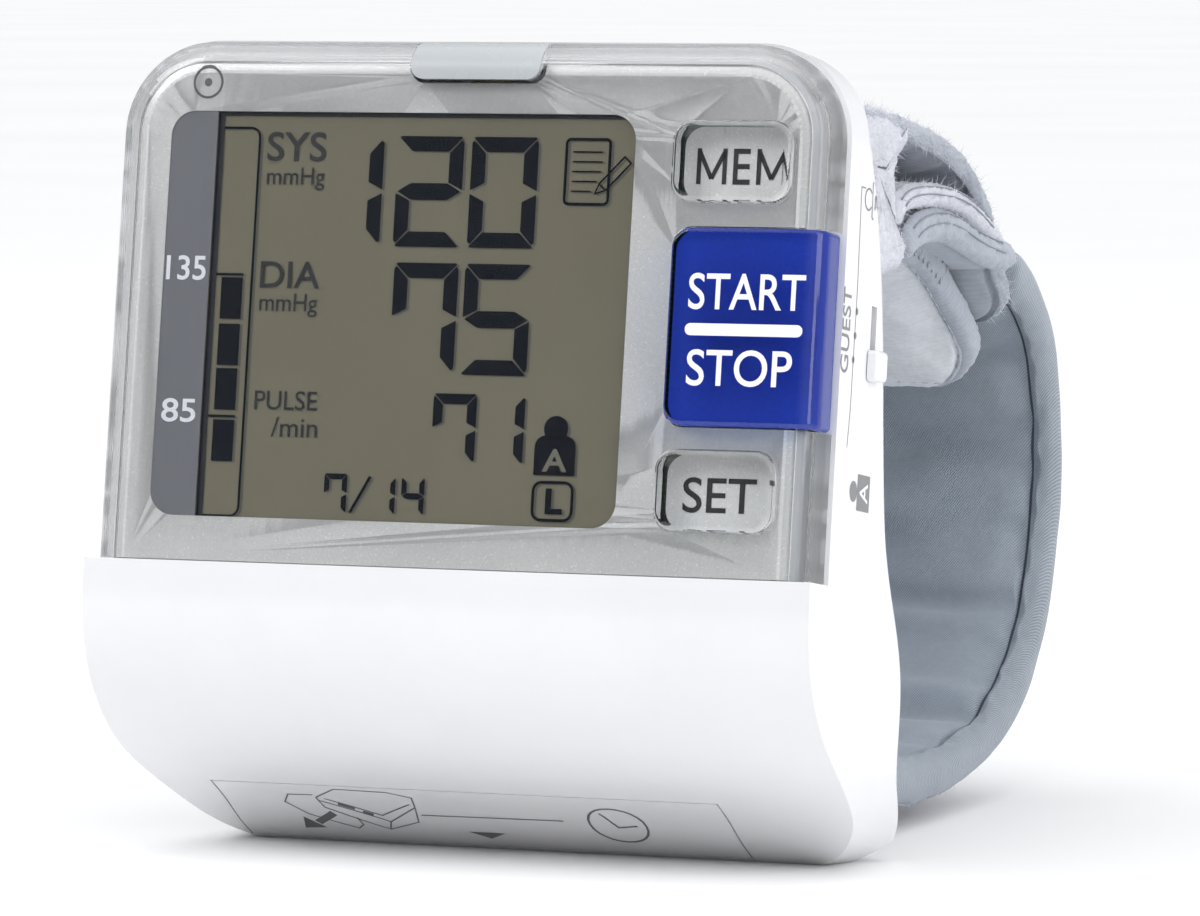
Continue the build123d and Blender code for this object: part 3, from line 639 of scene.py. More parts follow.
def panel_edge():
    """The panel's paint turned back along the inside of the cover's rim."""
    flat = [back_to_device(v.co) for v in nodes["silver_panel"].data.vertices]
    ring = hull([(round(x, 3), round(z, 3)) for x, _, z in flat])
    n = len(ring)
    points = [at(x, y, z) for y in (SCALE_Y, 4.8) for x, z in ring]
    open_below = [ring[k][1] < 20 and ring[(k + 1) % n][1] < 28 for k in range(n)]
    faces = [[k, (k + 1) % n, n + (k + 1) % n, n + k] for k in range(n) if not open_below[k]]
    mesh_piece("panel_edge", points, faces, PAINT, "device")


display_prints()
panel_prints()
panel_edge()
ring_mark()

# ------------------------------------------------------------------ keys
KEY_FILM_Y = 4.0
START_WORDS_Y = -0.63  # proud of the large key's face
WORD_WEIGHT = 0.006


def letter_m(art, left, right, low, high):
    middle = (left + right) / 2
    for x in (left, right):
        art.stroke([(x, low - 0.15), (x, high + 0.15)], 0.46)
        art.stroke([(x, high - 0.1), (middle, low + 0.4)], 0.44)


def small_key_prints(name, low):
    """Paint behind a small clear key, and its word."""
    node, body = f"{name}_button", f"{name}_key"
    art = Print()
    art.fill(rounded(22.75, 34.55, low + 0.25, low + 7.65, 2.0))
    art.build(f"{name}_key_film", PAINT, body, facing(KEY_FILM_Y), node)
    art = Print()
    if name == "mem":
        for left in (24.3, 30.6):
            letter_m(art, left, left + 2.7, low + 2.1, low + 5.35)
        art.text("E", (27.9, 29.7, low + 1.95, low + 5.5), WORD_WEIGHT)
    else:
        art.text("SET", (24.5, 32.2, low + 1.95, low + 5.45), WORD_WEIGHT)
    art.build(f"{name}_key_word", DARK_INK, body, facing(KEY_FILM_Y - 0.06), node)


def start_key_prints():
    """Blue film behind the large key and round its side, and the words on its face."""
    left, low, high, radius = 23.1, 41.5, 60.6, 2.0
    front, back, side = 1.2, 4.3, 37.9
    outline = (arc(left + radius, high - radius, radius, 90, 180)
               + arc(left + radius, low + radius, radius, 180, 270))
    points = [at(x, front, z) for x, z in outline]
    points += [at(side, y, z) for y in (front, back) for z in (low, high)]
    n = len(outline)
    faces = [list(range(n)) + [n, n + 1], [n, n + 2, n + 3, n + 1]]
    mesh_piece("start_key_film", points, faces, BLUE_INK, "start_key")
    art = Print()
    art.text("START", (25.1, 37.3, 52.7, 56.3), 0.008)
    art.text("STOP", (25.3, 36.3, 45.2, 48.8), 0.008)
    art.fill(rounded(24.9, 37.2, 50.15, 51.35, 0.58))
    art.build("start_key_words", WHITE_INK, "start_key", facing(START_WORDS_Y), "start_stop_button")


small_key_prints("mem", 63.4)
small_key_prints("set", 31.0)
start_key_prints()


# ------------------------------------------------------------------ right wall and battery cover
def wall_prints():
    """User switch marks: a scale with dots, two user figures and their letters."""
    case = surface_of("main_case")

    def on_wall(proud):
        return onto(case, lambda y, z: (60, y, z), (-1, 0, 0), 22, proud)

    art = Print()
    art.stroke([(9.6, 66.0), (8.4, 66.0), (8.55, 61.0), (8.7, 56.0), (8.5, 44.0), (8.1, 40.2)],
               0.13, step=1.2)
    for y, z in ((8.9, 53.7), (8.75, 51.3), (8.55, 48.9)):
        art.disc(y, z, 0.36, 16)
    art.text("GUEST", (5.0, 7.2, 47.4, 55.8), 0.004, turn=90)
    art.build("wall_scale", WALL_INK, "device", on_wall(0.03), "main_case")
    art = Print()
    art.disc(10.6, 36.1, 1.05, 20)
    art.box(11.7, 15.2, 34.3, 37.9)
    art.stroke(arc(10.6, 65.0, 1.05, 40, 320, 18), 0.2)
    art.stroke(rounded(11.7, 15.0, 63.2, 66.8, 0.3), 0.2, closed=True)
    art.text("B", (12.4, 14.4, 64.1, 65.9), 0.01, turn=90)
    art.build("wall_users", WALL_INK, "device", on_wall(0.03), "main_case")
    art = Print()
    art.text("A", (12.3, 14.6, 35.1, 37.1), 0.01, turn=90)
    art.build("wall_user_letter", WHITE_INK, "device", on_wall(0.05), "main_case")


def door_print():
    """Line drawing of a unit with its cover sliding off, a clock and an arrow."""
    art = Print()
    fine = 0.16
    lower = (0, -2.0)
    art.stroke([(-21.2, 22.4), (-18.4, 20.4), (-12.6, 20.6), (-10.2, 21.6), (-10.6, 23.6), (-14.4, 26.4),
                (-15.2, 25.9), (-21.2, 23.0)], fine, closed=True, step=0.7)
    for line, width, step in (
            ([(-21.2, 23.0), (-21.0, 24.3), (-15.0, 27.9), (-14.4, 26.4)], fine, 0.7),
            ([(-15.0, 27.9), (-11.2, 26.2), (-10.6, 23.6)], fine, 0.7),
            ([(-20.4, 22.6), (-14.9, 25.3), (-11.0, 23.0)], fine, 0.7),
            ([(-19.2, 23.5), (-17.6, 24.3)], 0.5, 0.5),
            ([(-16.9, 24.8), (-15.9, 25.3)], 0.5, 0.5),
            ([(-21.4, 21.9), (-24.2, 22.0), (-25.2, 23.6), (-23.4, 25.6), (-18.6, 28.0), (-17.8, 27.2),
              (-18.0, 25.9)], fine, 0.7),
            ([(-22.9, 27.2), (-20.4, 25.3)], 0.9, 0.6),
            ([(-10.4, 24.9), (5.4, 24.7)], fine, 1.0),
            ([(9.9, 22.9), (11.2, 25.4), (13.4, 25.0)], 0.22, 0.6)):
        art.stroke(line, width, step=step)
    art.stroke(arc(11.3, 25.0, 3.1, 0, 345, 24), 0.26, closed=True)
    art.fill([(-24.9, 28.5), (-24.2, 26.2), (-22.3, 28.2)])
    art.fill([(-6.2, 27.6), (-2.1, 27.6), (-4.1, 28.9)])
    door = onto(surface_of("battery_cover", "main_case"), lambda x, y: (x, y, -30), (0, 0, 1), 60)
    art.build("door_drawing", DOOR_INK, "battery_door", door, "battery_cover", lower)


wall_prints()
door_print()

# ------------------------------------------------------------------ cuff fabric
# Side-view routes (y, z) of the cuff's layers, near the faces of their CAD solids.
BAND_ROUTE = [(34.6, 8.6), (50.0, 6.5), (68.0, 7.9), (84.0, 12.7), (96.3, 21.6),
              (102.0, 34.0), (102.1, 49.0), (97.0, 61.0), (83.5, 68.6)]
TOP_ROUTE = [(17.6, 73.2), (25.0, 75.8), (36.0, 77.0), (48.0, 77.3), (59.0, 76.8),
             (68.0, 74.6), (74.2, 70.4), (78.5, 65.6), (84.4, 62.2), (91.2, 58.2)]
PAD_ROUTE = [(34.2, 15.0), (33.8, 21.0), (30.2, 30.0), (27.2, 42.0), (26.0, 54.0),
             (29.6, 62.4), (40.0, 67.0), (54.0, 68.4), (67.0, 67.0), (77.0, 63.0),
             (84.0, 59.5), (90.0, 55.2)]
FOLD_ROUTE = [(42.6, 66.8), (44.6, 69.2), (49.0, 70.9), (55.0, 71.7), (61.0, 72.0), (67.0, 71.6),
              (72.5, 70.4), (77.5, 69.0)]
HEM_ROUTE = [(45.2, 64.9), (48.2, 67.0), (52.6, 68.6), (57.0, 69.3), (62.0, 69.3), (67.4, 68.7),
             (74.0, 68.3), (80.5, 68.4)]
SIDE_OUTLINE = [(28.6, 75.2), (28.9, 68.0), (31.0, 62.5), (36.0, 60.0), (42.0, 61.0), (45.6, 62.8),
                (45.6, 64.6), (43.4, 66.6), (41.9, 69.2), (42.0, 72.2), (43.4, 74.2), (44.8, 75.7),
                (41.0, 76.7), (34.0, 76.5), (28.6, 75.2)]
OUTER, INNER, EDGE = 0, 1, 2  # a strip's outer face, inner face and rolled edges


def fabric_shade(name, light, dark, speckle):
    s = Shade(name, Sheen_Weight=0.5, Sheen_Roughness=0.4, Specular_IOR_Level=0.15,
              Sheen_Tint=(0.9, 0.92, 1.0, 1))
    tone = s.ramp(s.noise(70, 4, 0.6), [(0.3, dark), (0.7, light)])
    fleck = s.ramp(s.noise(speckle, 3, 0.7), [(0.3, grey(0.84)), (0.7, grey(1.0))])
    return s, s.mix(1.0, tone, fleck, "MULTIPLY")


def pile_cloth():
    """Loop pile: soft, nearly matt, with a nap of tiny loops."""
    light, dark = (0.74, 0.75, 0.81), (0.62, 0.63, 0.69)
    s, colour = fabric_shade("pile_cloth", light, dark, 900)
    loops = s.cells(2400)
    s.mixed_colour(0.22, colour, loops, (0.1, light), (0.8, times(dark, 0.6)))
    s.rough(loops, 0.85, 1.0)
    s.bump(loops, 0.25, 0.0001)
    s.bump(s.noise(700, 4, 0.7), 0.6, 0.0002)
    return s.mat


def twill_cloth(name, light, dark):
    """Fine diagonal twill, woven along the piece's own length and width."""
    s, colour = fabric_shade(name, light, dark, 1400)
    woven = s.place(turn=(0, 0, math.radians(58)), attribute="weave")
    ribs = s.add("ShaderNodeTexWave", {"Vector": woven, "Scale": 1300, "Distortion": 0.5, "Detail": 1.0,
                                       "Detail Scale": 3.0}).outputs["Fac"]
    s.mixed_colour(0.5, colour, ribs, (0.2, times(dark, 0.62)), (0.8, light))
    s.rough(ribs, 0.95, 0.8)
    s.bump(ribs, 0.55, 0.00007)
    s.bump(s.noise(500, 3, 0.6), 0.2, 0.0001)
    return s.mat


def knit_cloth(name, light, dark):
    """Brushed knit of the bindings and the pad's face."""
    s, colour = fabric_shade(name, light, dark, 1200)
    ribs = s.add("ShaderNodeTexWave", {"Vector": s.place(attribute="weave"), "Scale": 430, "Distortion": 1.2,
                                       "Detail": 2.0, "Detail Scale": 2.0}).outputs["Fac"]
    s.mixed_colour(0.2, colour, ribs, (0.2, dark), (0.8, light))
    s.rough(ribs, 0.95, 0.82)
    s.bump(ribs, 0.3, 0.00005)
    s.bump(s.noise(800, 4, 0.7), 0.45, 0.00012)
    return s.mat


def hook_tape():
    s, colour = fabric_shade("hook_tape", (0.30, 0.32, 0.36), (0.22, 0.24, 0.28), 2000)
    hooks = s.cells(1100)
    s.mixed_colour(0.5, colour, hooks, (0.1, grey(0.6)), (0.6, grey(0.12)))
    s.rough(hooks, 0.4, 0.7)
    s.bump(hooks, 0.8, 0.0002)
    return s.mat


PILE = pile_cloth()
TWILL = twill_cloth("twill_cloth", (0.40, 0.45, 0.51), (0.28, 0.325, 0.378))
KNIT = knit_cloth("knit_cloth", (0.46, 0.49, 0.545), (0.36, 0.39, 0.445))
RIM = twill_cloth("rim_twill", (0.38, 0.42, 0.47), (0.27, 0.305, 0.352))
# A lightened copy of the knit, as painted light: it stands for broad light reaching the pad's downward
# faces.
LIT_KNIT = knit_cloth("lit_knit", (0.83, 0.85, 0.89), (0.72, 0.745, 0.79))
SEAM = ink("seam_thread", (0.055, 0.070, 0.095), rough=0.9)
EDGE_SEAM = ink("edge_seam", (0.24, 0.265, 0.305), rough=0.9)
THREAD = ink("pale_thread", (0.50, 0.53, 0.58), rough=0.85)


class Route:
    """Smooth line through side-view points (a natural cubic spline), read by a share of its length."""

    def __init__(self, points):
        p = np.array(points, float)
        h = np.diff(np.concatenate(([0], np.cumsum(np.linalg.norm(np.diff(p, axis=0), axis=1)))))
        n = len(p)
        a = np.zeros((n, n))
        b = np.zeros((n, 2))
        a[0, 0] = a[-1, -1] = 1
        for i in range(1, n - 1):
            a[i, i - 1], a[i, i], a[i, i + 1] = h[i - 1], 2 * (h[i - 1] + h[i]), h[i]
            b[i] = 6 * ((p[i + 1] - p[i]) / h[i] - (p[i] - p[i - 1]) / h[i - 1])
        m = np.linalg.solve(a, b)
        line = []
        for i in range(n - 1):
            u = np.linspace(0, h[i], 60, endpoint=False)[:, None]
            slope = (p[i + 1] - p[i]) / h[i] - h[i] * (2 * m[i] + m[i + 1]) / 6
            line.append(p[i] + slope * u + m[i] * u ** 2 / 2 + (m[i + 1] - m[i]) * u ** 3 / (6 * h[i]))
        self.line = np.vstack(line + [p[-1:]])
        self.reach = np.concatenate(([0], np.cumsum(np.linalg.norm(np.diff(self.line, axis=0), axis=1))))
        self.length = self.reach[-1]

    def point(self, share):
        return np.array([np.interp(share * self.length, self.reach, self.line[:, k]) for k in (0, 1)])

    def inward(self, share):
        """Unit normal to the left of the way along."""
        way = self.point(min(1, share + 0.004)) - self.point(max(0, share - 0.004))
        way /= np.linalg.norm(way)
        return np.array((-way[1], way[0]))


def wave(x, y, seed=0.0):
    return noise.noise(Vector((x, y, seed)))


class Strip:
    """Padded strip along a route: two faces, rolled edges and closed ends.

    outer and inner are how far its faces lie to the left of the route, half is half its width, edge the
    width of a rolled edge, and welt how far in its seams run. Each fold is a dent or ridge of one face."""

    ARCS = 7  # steps round a rolled edge
    SWELL_WAVE, RIPPLE = 0.22, 0.09
    CHANNEL_DEPTH, CHANNEL_WIDTH, WELT_RISE = 0.75, 0.4, 0.35
    FOLD_FADE = 2.0

    def __init__(self, route, outer, inner, half, start=0.0, end=1.0, edge=1.2, welt=0.0,
                 corner=(0.0, 0.0), folds=(), relief=None, swell=0.25, seed=1.0, step=1.2):
        self.route, self.outer, self.half = Route(route), outer, half
        self.side = 1 if inner > outer else -1
        self.thick = abs(inner - outer)
        self.edge, self.welt, self.corner = edge, welt, corner
        self.folds, self.relief, self.swell, self.seed = folds, relief, swell, seed
        self.start, self.end = start, end
        self.length = (end - start) * self.route.length
        self.stations = int(self.length / step) + 1
        flat = half - edge
        places = set(np.linspace(-flat, flat, int(2 * flat / step) + 1).round(2))
        if welt:
            near = [half - welt + d for d in (-0.8, -0.45, -0.2, 0.0, 0.2, 0.45, 0.8)]
            places |= {round(x * turn, 2) for x in near if x < flat for turn in (-1, 1)}
        self.places = sorted(places)
        self.points, self.weave = [], []
        self.fill_points()
        self.faces, self.kinds = self.make_faces()

    def face_height(self, x, s, inside):
        """Swell, seams and folds of a face, in millimetres outward from the pad."""
        reach = max(0.0, 1 - (x / self.half) ** 4)
        height = self.swell * reach
        height += self.SWELL_WAVE * reach * wave(s * 0.07, x * 0.09, self.seed + 7 * inside)
        height += self.RIPPLE * wave(s * 0.28, x * 0.3, self.seed + 3 + 7 * inside)
        if self.welt:
            gap = abs(x) - (self.half - self.welt)
            height -= self.CHANNEL_DEPTH * math.exp(-(gap / self.CHANNEL_WIDTH) ** 2)
            height += self.WELT_RISE * math.exp(-((gap - self.welt * 0.45) / (0.5 * self.welt)) ** 2)
        for fold_inside, where, slant, low, high, width, depth in self.folds:
            if fold_inside == inside:
                off = (s - where * self.length - slant * x) / width
                shown = (1 / (1 + math.exp(-(x - low) / self.FOLD_FADE))
                         / (1 + math.exp((x - high) / self.FOLD_FADE)))
                height += depth * shown * math.exp(-off * off)
        return height + (self.relief(x, s, inside) if self.relief else 0.0)

    def narrowing(self, s):
        """Share of the full width that is left near a rounded end."""
        half = self.half
        for corner, gone in zip(self.corner, (s, self.length - s)):
            if corner and gone < corner:
                half -= corner - math.sqrt(max(0.0, corner ** 2 - (corner - gone) ** 2))
        return half / self.half

    def place(self, steps, of, x, depth):
        """World place at steps of so many along the strip, x across it and depth in from its outer face."""
        there = self.start + (self.end - self.start) * steps / of
        y, z = self.route.point(there) + self.route.inward(there) * (self.outer + self.side * depth)
        return at(x * self.narrowing(self.length * steps / of), y, z)

    def fill_points(self):
        thick = self.thick
        for i in range(self.stations):
            s = self.length * i / (self.stations - 1)
            near = min(s, self.length - s)
            close = math.sqrt(max(0.02, 1 - (1 - min(1, near / (thick / 2))) ** 2))
            for x, w, inside in self.section():
                lift = 0.0
                if inside is None:
                    x += 0.18 * wave(s * 0.2, w * 2.0, self.seed + 20) * np.sign(x)
                else:
                    lift = self.face_height(x, s, inside) * close * (1 if inside else -1)
                depth = (w - 0.5) * thick * close + 0.5 * thick + lift
                self.points.append(self.place(i, self.stations - 1, x, depth))
                self.weave.append((s * MM, x * self.narrowing(s) * MM, w * thick * MM))

    def spot(self, share, x, w, proud=0.0):
        """World place on a face (w 0 outer, 1 inner), a little proud of it."""
        inside = w > 0.5
        lift = self.face_height(x, share * self.length, inside) + proud
        return self.place(share, 1, x, w * self.thick + (lift if inside else -lift))

    def rim(self, share, side, w, proud=0.0):
        """World place on a rolled edge."""
        turn = math.sin(math.acos(1 - 2 * w)) ** 0.7
        x = self.half - self.edge + self.edge * turn + proud
        return self.place(share, 1, side * x, w * self.thick)

    def section(self):
        """One station's ring: x across, share of the thickness, and the face, or None on an edge."""
        flat = self.half - self.edge
        angles = [math.pi * k / self.ARCS for k in range(1, self.ARCS)]
        return ([(x, 0.0, False) for x in self.places]
                + [(flat + self.edge * math.sin(a) ** 0.7, (1 - math.cos(a)) / 2, None) for a in angles]
                + [(x, 1.0, True) for x in self.places[::-1]]
                + [(-flat - self.edge * math.sin(a) ** 0.7, (1 + math.cos(a)) / 2, None) for a in angles])

    def make_faces(self):
        ring = self.section()
        count, across = len(ring), len(self.places)
        faces, kinds = [], []
        for i in range(self.stations - 1):
            for k in range(count):
                n = (k + 1) % count
                quad = [i * count + k, (i + 1) * count + k, (i + 1) * count + n, i * count + n]
                faces.append(quad if self.side > 0 else quad[::-1])
                a, b = ring[k][2], ring[n][2]
                kinds.append(EDGE if a is None or b is None else int(a))
        for i in (0, self.stations - 1):
            last = i * count + 2 * across + self.ARCS - 2
            for k in range(across - 1):
                quad = [i * count + k, i * count + k + 1, last - 1 - k, last - k]
                faces.append(quad if (i > 0) == (self.side > 0) else quad[::-1])
                kinds.append(EDGE)
        return faces, kinds

    def held(self):
        """Vertices that seams, rolled edges and ends hold in place."""
        sewn = [inside is None or abs(abs(x) - self.half + self.welt) < 0.3
                for x, _, inside in self.section()]
        return [i * len(sewn) + k for i in range(self.stations) for k in range(len(sewn))
                if sewn[k] or i < 2 or i > self.stations - 3]

    def build(self, name, finishes, cap=0.0):
        """The piece, with a finish for each of OUTER, INNER and EDGE; cap is how far air may move it."""
        piece = mesh_piece(name, self.points, self.faces, finishes[OUTER], smooth=True)
        mesh = piece.data
        layer = mesh.attributes.new("weave", "FLOAT_VECTOR", "POINT")
        layer.data.foreach_set("vector", np.array(self.weave, np.float32).ravel())
        for finish in finishes[1:]:
            mesh.materials.append(finish)
        mesh.polygons.foreach_set("material_index", self.kinds)
        close_ends(piece)
        if cap:
            inflate(piece, self.held(), cap)
        refine(piece)
        return piece


def inflate(piece, held, cap, grow=6, frames=20):
    """Cloth simulation, run at a larger size: air puffs the faces between their seams."""
    mesh = piece.data
    rest = np.empty(len(mesh.vertices) * 3, np.float32)
    mesh.vertices.foreach_get("co", rest)
    mesh.vertices.foreach_set("co", rest * grow)
    piece.vertex_groups.new(name="held").add(held, 1.0, "REPLACE")
    cloth = piece.modifiers.new("cloth", "CLOTH")
    settings = cloth.settings
    settings.quality = 4
    settings.vertex_group_mass = "held"
    settings.shrink_min = -0.03
    settings.use_pressure = True
    settings.uniform_pressure_force = 4.0
    settings.effector_weights.gravity = 0.0
    cloth.point_cache.frame_end = frames
    for number in range(1, frames + 1):
        bpy.context.scene.frame_set(number)
    puffed = np.empty_like(rest)
    piece.evaluated_get(bpy.context.evaluated_depsgraph_get()).data.vertices.foreach_get("co", puffed)
    piece.modifiers.clear()
    piece.vertex_groups.clear()
    bpy.context.scene.frame_set(1)
    move = (puffed / grow - rest).reshape(-1, 3)
    reach = np.linalg.norm(move, axis=1, keepdims=True)
    move *= np.minimum(1.0, cap * MM / np.maximum(reach, 1e-9))
    mesh.vertices.foreach_set("co", rest + move.ravel())
    mesh.update()


def close_ends(piece):
    bm = bmesh.new()
    bm.from_mesh(piece.data)
    holes = [e for e in bm.edges if e.is_boundary]
    if holes:
        for face in bmesh.ops.holes_fill(bm, edges=holes, sides=0)["faces"]:
            face.smooth = True
            face.material_index = EDGE
    bmesh.ops.recalc_face_normals(bm, faces=bm.faces)
    bm.to_mesh(piece.data)
    bm.free()


def refine(piece):
    """Apply one level of subdivision surface."""
    piece.modifiers.new("smooth", "SUBSURF").levels = 1
    bpy.context.view_layer.update()
    old = piece.data
    mesh = bpy.data.meshes.new_from_object(piece.evaluated_get(bpy.context.evaluated_depsgraph_get()))
    piece.modifiers.clear()
    piece.data = mesh
    bpy.data.meshes.remove(old)
    mesh.name = piece.name


def nap(piece, kinds, reach, seed):
    """Rough the nap of pile faces with small seeded pushes along the normals."""
    mesh = piece.data
    count = len(mesh.vertices)
    spots, normals = np.empty(count * 3, np.float32), np.empty(count * 3, np.float32)
    mesh.vertices.foreach_get("co", spots)
    mesh.vertex_normals.foreach_get("vector", normals)
    touched = np.zeros(count)
    for polygon in mesh.polygons:
        if polygon.material_index in kinds:
            touched[list(polygon.vertices)] = 1
    push = np.random.default_rng(seed).normal(0, reach * MM, count) * touched
    mesh.vertices.foreach_set("co", (spots.reshape(-1, 3) + normals.reshape(-1, 3) * push[:, None]).ravel())
    mesh.update()


def keep_above_floor(piece, lowest=0.15):
    """Flatten what would sink into the table."""
    for vertex in piece.data.vertices:
        vertex.co.z = max(vertex.co.z, lowest * MM)
    piece.data.update()


def tube(rings, count, first=0):
    """Quads between rings of count points, each closed round."""
    faces = []
    for i in range(rings - 1):
        a, b = first + i * count, first + (i + 1) * count
        faces += [[a + k, a + (k + 1) % count, b + (k + 1) % count, b + k] for k in range(count)]
    return faces


def band_relief(x, s, inside):
    return 0.18 * wave(s * 0.11 + 0.02 * x, 3.3, 5.0) if inside else 0.0


def outer_band():
    """The outer band with its closing flap, one padded length that bends at the hinge."""
    folds = [  # on the inner face, share along, slant, from, to, width, height
        (True, 0.655, 0.10, -27, 12, 3.0, -1.9), (True, 0.685, 0.10, -27, 14, 2.4, 1.1),
        (True, 0.60, -0.06, -10, 24, 2.2, -1.6), (True, 0.575, -0.06, -10, 24, 2.0, 0.8),
        (True, 0.50, 0.02, -28, 8, 4.0, -1.2), (True, 0.42, -0.02, -28, 26, 3.2, -1.9),
        (True, 0.45, -0.02, -28, 26, 2.6, 1.1), (True, 0.73, 0.25, 8, 28, 2.0, -1.2),
        (True, 0.78, -0.2, 2, 28, 2.0, -0.9), (True, 0.30, 0.05, -20, 26, 3.0, -0.7)]
    strip = Strip(BAND_ROUTE, 0.15, 4.75, 30.3, edge=1.5, welt=2.6, folds=folds, relief=band_relief,
                  swell=0.2)
    piece = strip.build("cuff_band", [PILE, TWILL, RIM], cap=0.7)
    nap(piece, (OUTER,), 0.07, 11)
    keep_above_floor(piece)
    return strip, piece


def top_strap():
    """Pile strap from the top of the case that runs under the flap."""
    folds = [(False, 0.30, 0.12, -28, 30, 5.0, 0.5), (False, 0.62, -0.08, -30, 20, 3.5, -0.5)]
    strip = Strip(TOP_ROUTE, -0.1, -1.9, 30.3, end=0.93, edge=0.9, welt=1.6, folds=folds, seed=4.0,
                  corner=(0.0, 8.0))
    piece = strip.build("top_strap", [PILE, KNIT, KNIT], cap=0.6)
    nap(piece, (OUTER, EDGE), 0.1, 12)
    return strip, piece


def pad_relief(x, s, _):
    return 0.22 * wave(s * 0.1, x * 0.05, 9.0)


def wrist_pad():
    """Inflatable pad behind the case, over the wrist and down to its rounded tongue."""
    folds = [(True, 0.93, 0.3, -10, 24, 2.2, -0.35), (False, 0.70, 0.15, -24, 26, 3.0, -0.5),
             (False, 0.78, -0.1, -26, 24, 2.6, 0.5), (False, 0.62, 0.05, -26, 24, 2.6, -0.4)]
    strip = Strip(PAD_ROUTE, -0.1, -3.9, 26.4, edge=1.8, welt=2.2, folds=folds, relief=pad_relief,
                  swell=0.5, seed=8.0, corner=(0.0, 9.0))
    # The pad's two faces take the lightened knit: painted light on the pad's shaded underside.
    piece = strip.build("wrist_pad", [LIT_KNIT, LIT_KNIT, KNIT], cap=1.0)
    nap(piece, (OUTER, INNER, EDGE), 0.05, 13)
    return strip, piece


def folded_layer(name, route, deep, half, finish, seed):
    """One of the strap's two turned-back layers, seen stacked at the cuff's edges."""
    strip = Strip(route, 0.0, -deep, half, edge=1.3, welt=1.8, swell=0.2, seed=float(seed))
    piece = strip.build(name, [finish] * 3)
    nap(piece, (OUTER, EDGE), 0.07, seed)
    return strip, piece


def band_belly():
    """The band's fuller part under the case."""
    strip = Strip(BAND_ROUTE, -1.9, 0.8, 20.0, start=0.02, end=0.38, edge=1.3, seed=40.0, corner=(5.0, 5.0))
    piece = strip.build("band_belly", [PILE] * 3)
    nap(piece, (OUTER, INNER, EDGE), 0.09, 41)
    keep_above_floor(piece)
    return piece


def side_pile():
    """Pile padding between strap and pad, next to the case."""
    core = Route(SIDE_OUTLINE)
    count, radius, half = 120, 1.6, 30.9
    line = [core.point(k / count) for k in range(count)]
    middle = np.array((36.0, 70.0))
    round_edge = [(-half + radius * (1 - math.cos(a)), radius * (1 - math.sin(a)))
                  for a in np.radians(np.linspace(0, 90, 6))]
    steps = (round_edge + [(x, 0.0) for x in np.linspace(-half + radius, half - radius, 40)[1:-1]]
             + [(-x, inset) for x, inset in round_edge[::-1]])
    points = []
    for x, inset in steps:
        for k in range(count):
            way = line[(k + 1) % count] - line[k - 1]
            inward = np.array((-way[1], way[0])) / np.linalg.norm(way)
            y, z = line[k] + inward * (inset + 0.25 * wave(k * 0.3, x * 0.4, 30.0))
            points.append(at(x, y, z))
    faces = tube(len(steps), count)
    for first, x in ((0, -half), ((len(steps) - 1) * count, half)):
        rim = [np.array(back_to_device(p)[1:]) for p in points[first:first + count]]
        outer = list(range(first, first + count))
        for share in (0.75, 0.5, 0.25):
            inner = list(range(len(points), len(points) + count))
            for spot in rim:
                y, z = middle + (spot - middle) * share
                points.append(at(x + math.copysign(0.5 * wave(y * 0.4, z * 0.4, 33.0), x), y, z))
            for k in range(count):
                n = (k + 1) % count
                faces.append([outer[k], outer[n], inner[n], inner[k]])
            outer = inner
        faces.append(outer)
    piece = mesh_piece("side_pile", points, faces, PILE, smooth=True)
    close_ends(piece)
    nap(piece, (OUTER,), 0.09, 21)
    return piece


def threads(name, lines, radius, finish, sides=5):
    """Round threads along lines of world points."""
    points, faces = [], []
    for line in lines:
        first = len(points)
        for k, spot in enumerate(line):
            way = (line[min(k + 1, len(line) - 1)] - line[max(k - 1, 0)]).normalized()
            side = way.orthogonal().normalized() if k == 0 else (side - way * side.dot(way)).normalized()
            up = way.cross(side)
            for a in (math.tau * j / sides for j in range(sides)):
                points.append(spot + (side * math.cos(a) + up * math.sin(a)) * radius * MM)
        last = len(points) - sides
        faces += tube(len(line), sides, first)
        faces += [list(range(first, first + sides))[::-1], list(range(last, last + sides))]
    return mesh_piece(name, points, faces, finish, None, smooth=True)


def dashes(strip, start, end, x, w, run=1.1, gap=0.7, proud=0.05):
    """Running stitches along a strip."""
    lines = []
    s = start * strip.length
    while s < end * strip.length:
        lines.append([strip.spot((s + run * k / 2) / strip.length, x, w, proud - 0.1 * abs(k - 1))
                      for k in range(3)])
        s += run + gap
    return lines


def pad_stitching(strip):
    """Running stitches, the zigzag on each edge and the stitched row across the pad's end."""
    lines = []
    for side in (-1, 1):
        for w in (0.0, 1.0):
            lines += dashes(strip, 0.04, 0.975, side * 24.2, w)
        lines.append([strip.rim(0.40 + k * 0.8 / strip.length, side, 0.2 if k % 2 else 0.85, 0.12)
                      for k in range(60)])
    across = [strip.spot(1 - 2.4 / strip.length, x, 1.0, 0.05) for x in np.linspace(-23.5, 23.5, 60)]
    return lines + [across[k:k + 2] for k in range(0, 59, 2)]


def seam_lines(strip, inset, start, end, count=140):
    """Lines along both faces, inset from the strip's edges."""
    return [[strip.spot(start + (end - start) * k / count, side * (strip.half - inset), w, -0.1)
             for k in range(count + 1)] for side in (-1, 1) for w in (0.0, 1.0)]


def hem_lines(strip):
    """Rows of stitches along a folded layer's edges."""
    return [[strip.rim(0.08 + 0.8 * k / 60, side, w, 0.02) for k in range(61)]
            for side in (-1, 1) for w in (0.12, 0.45)]


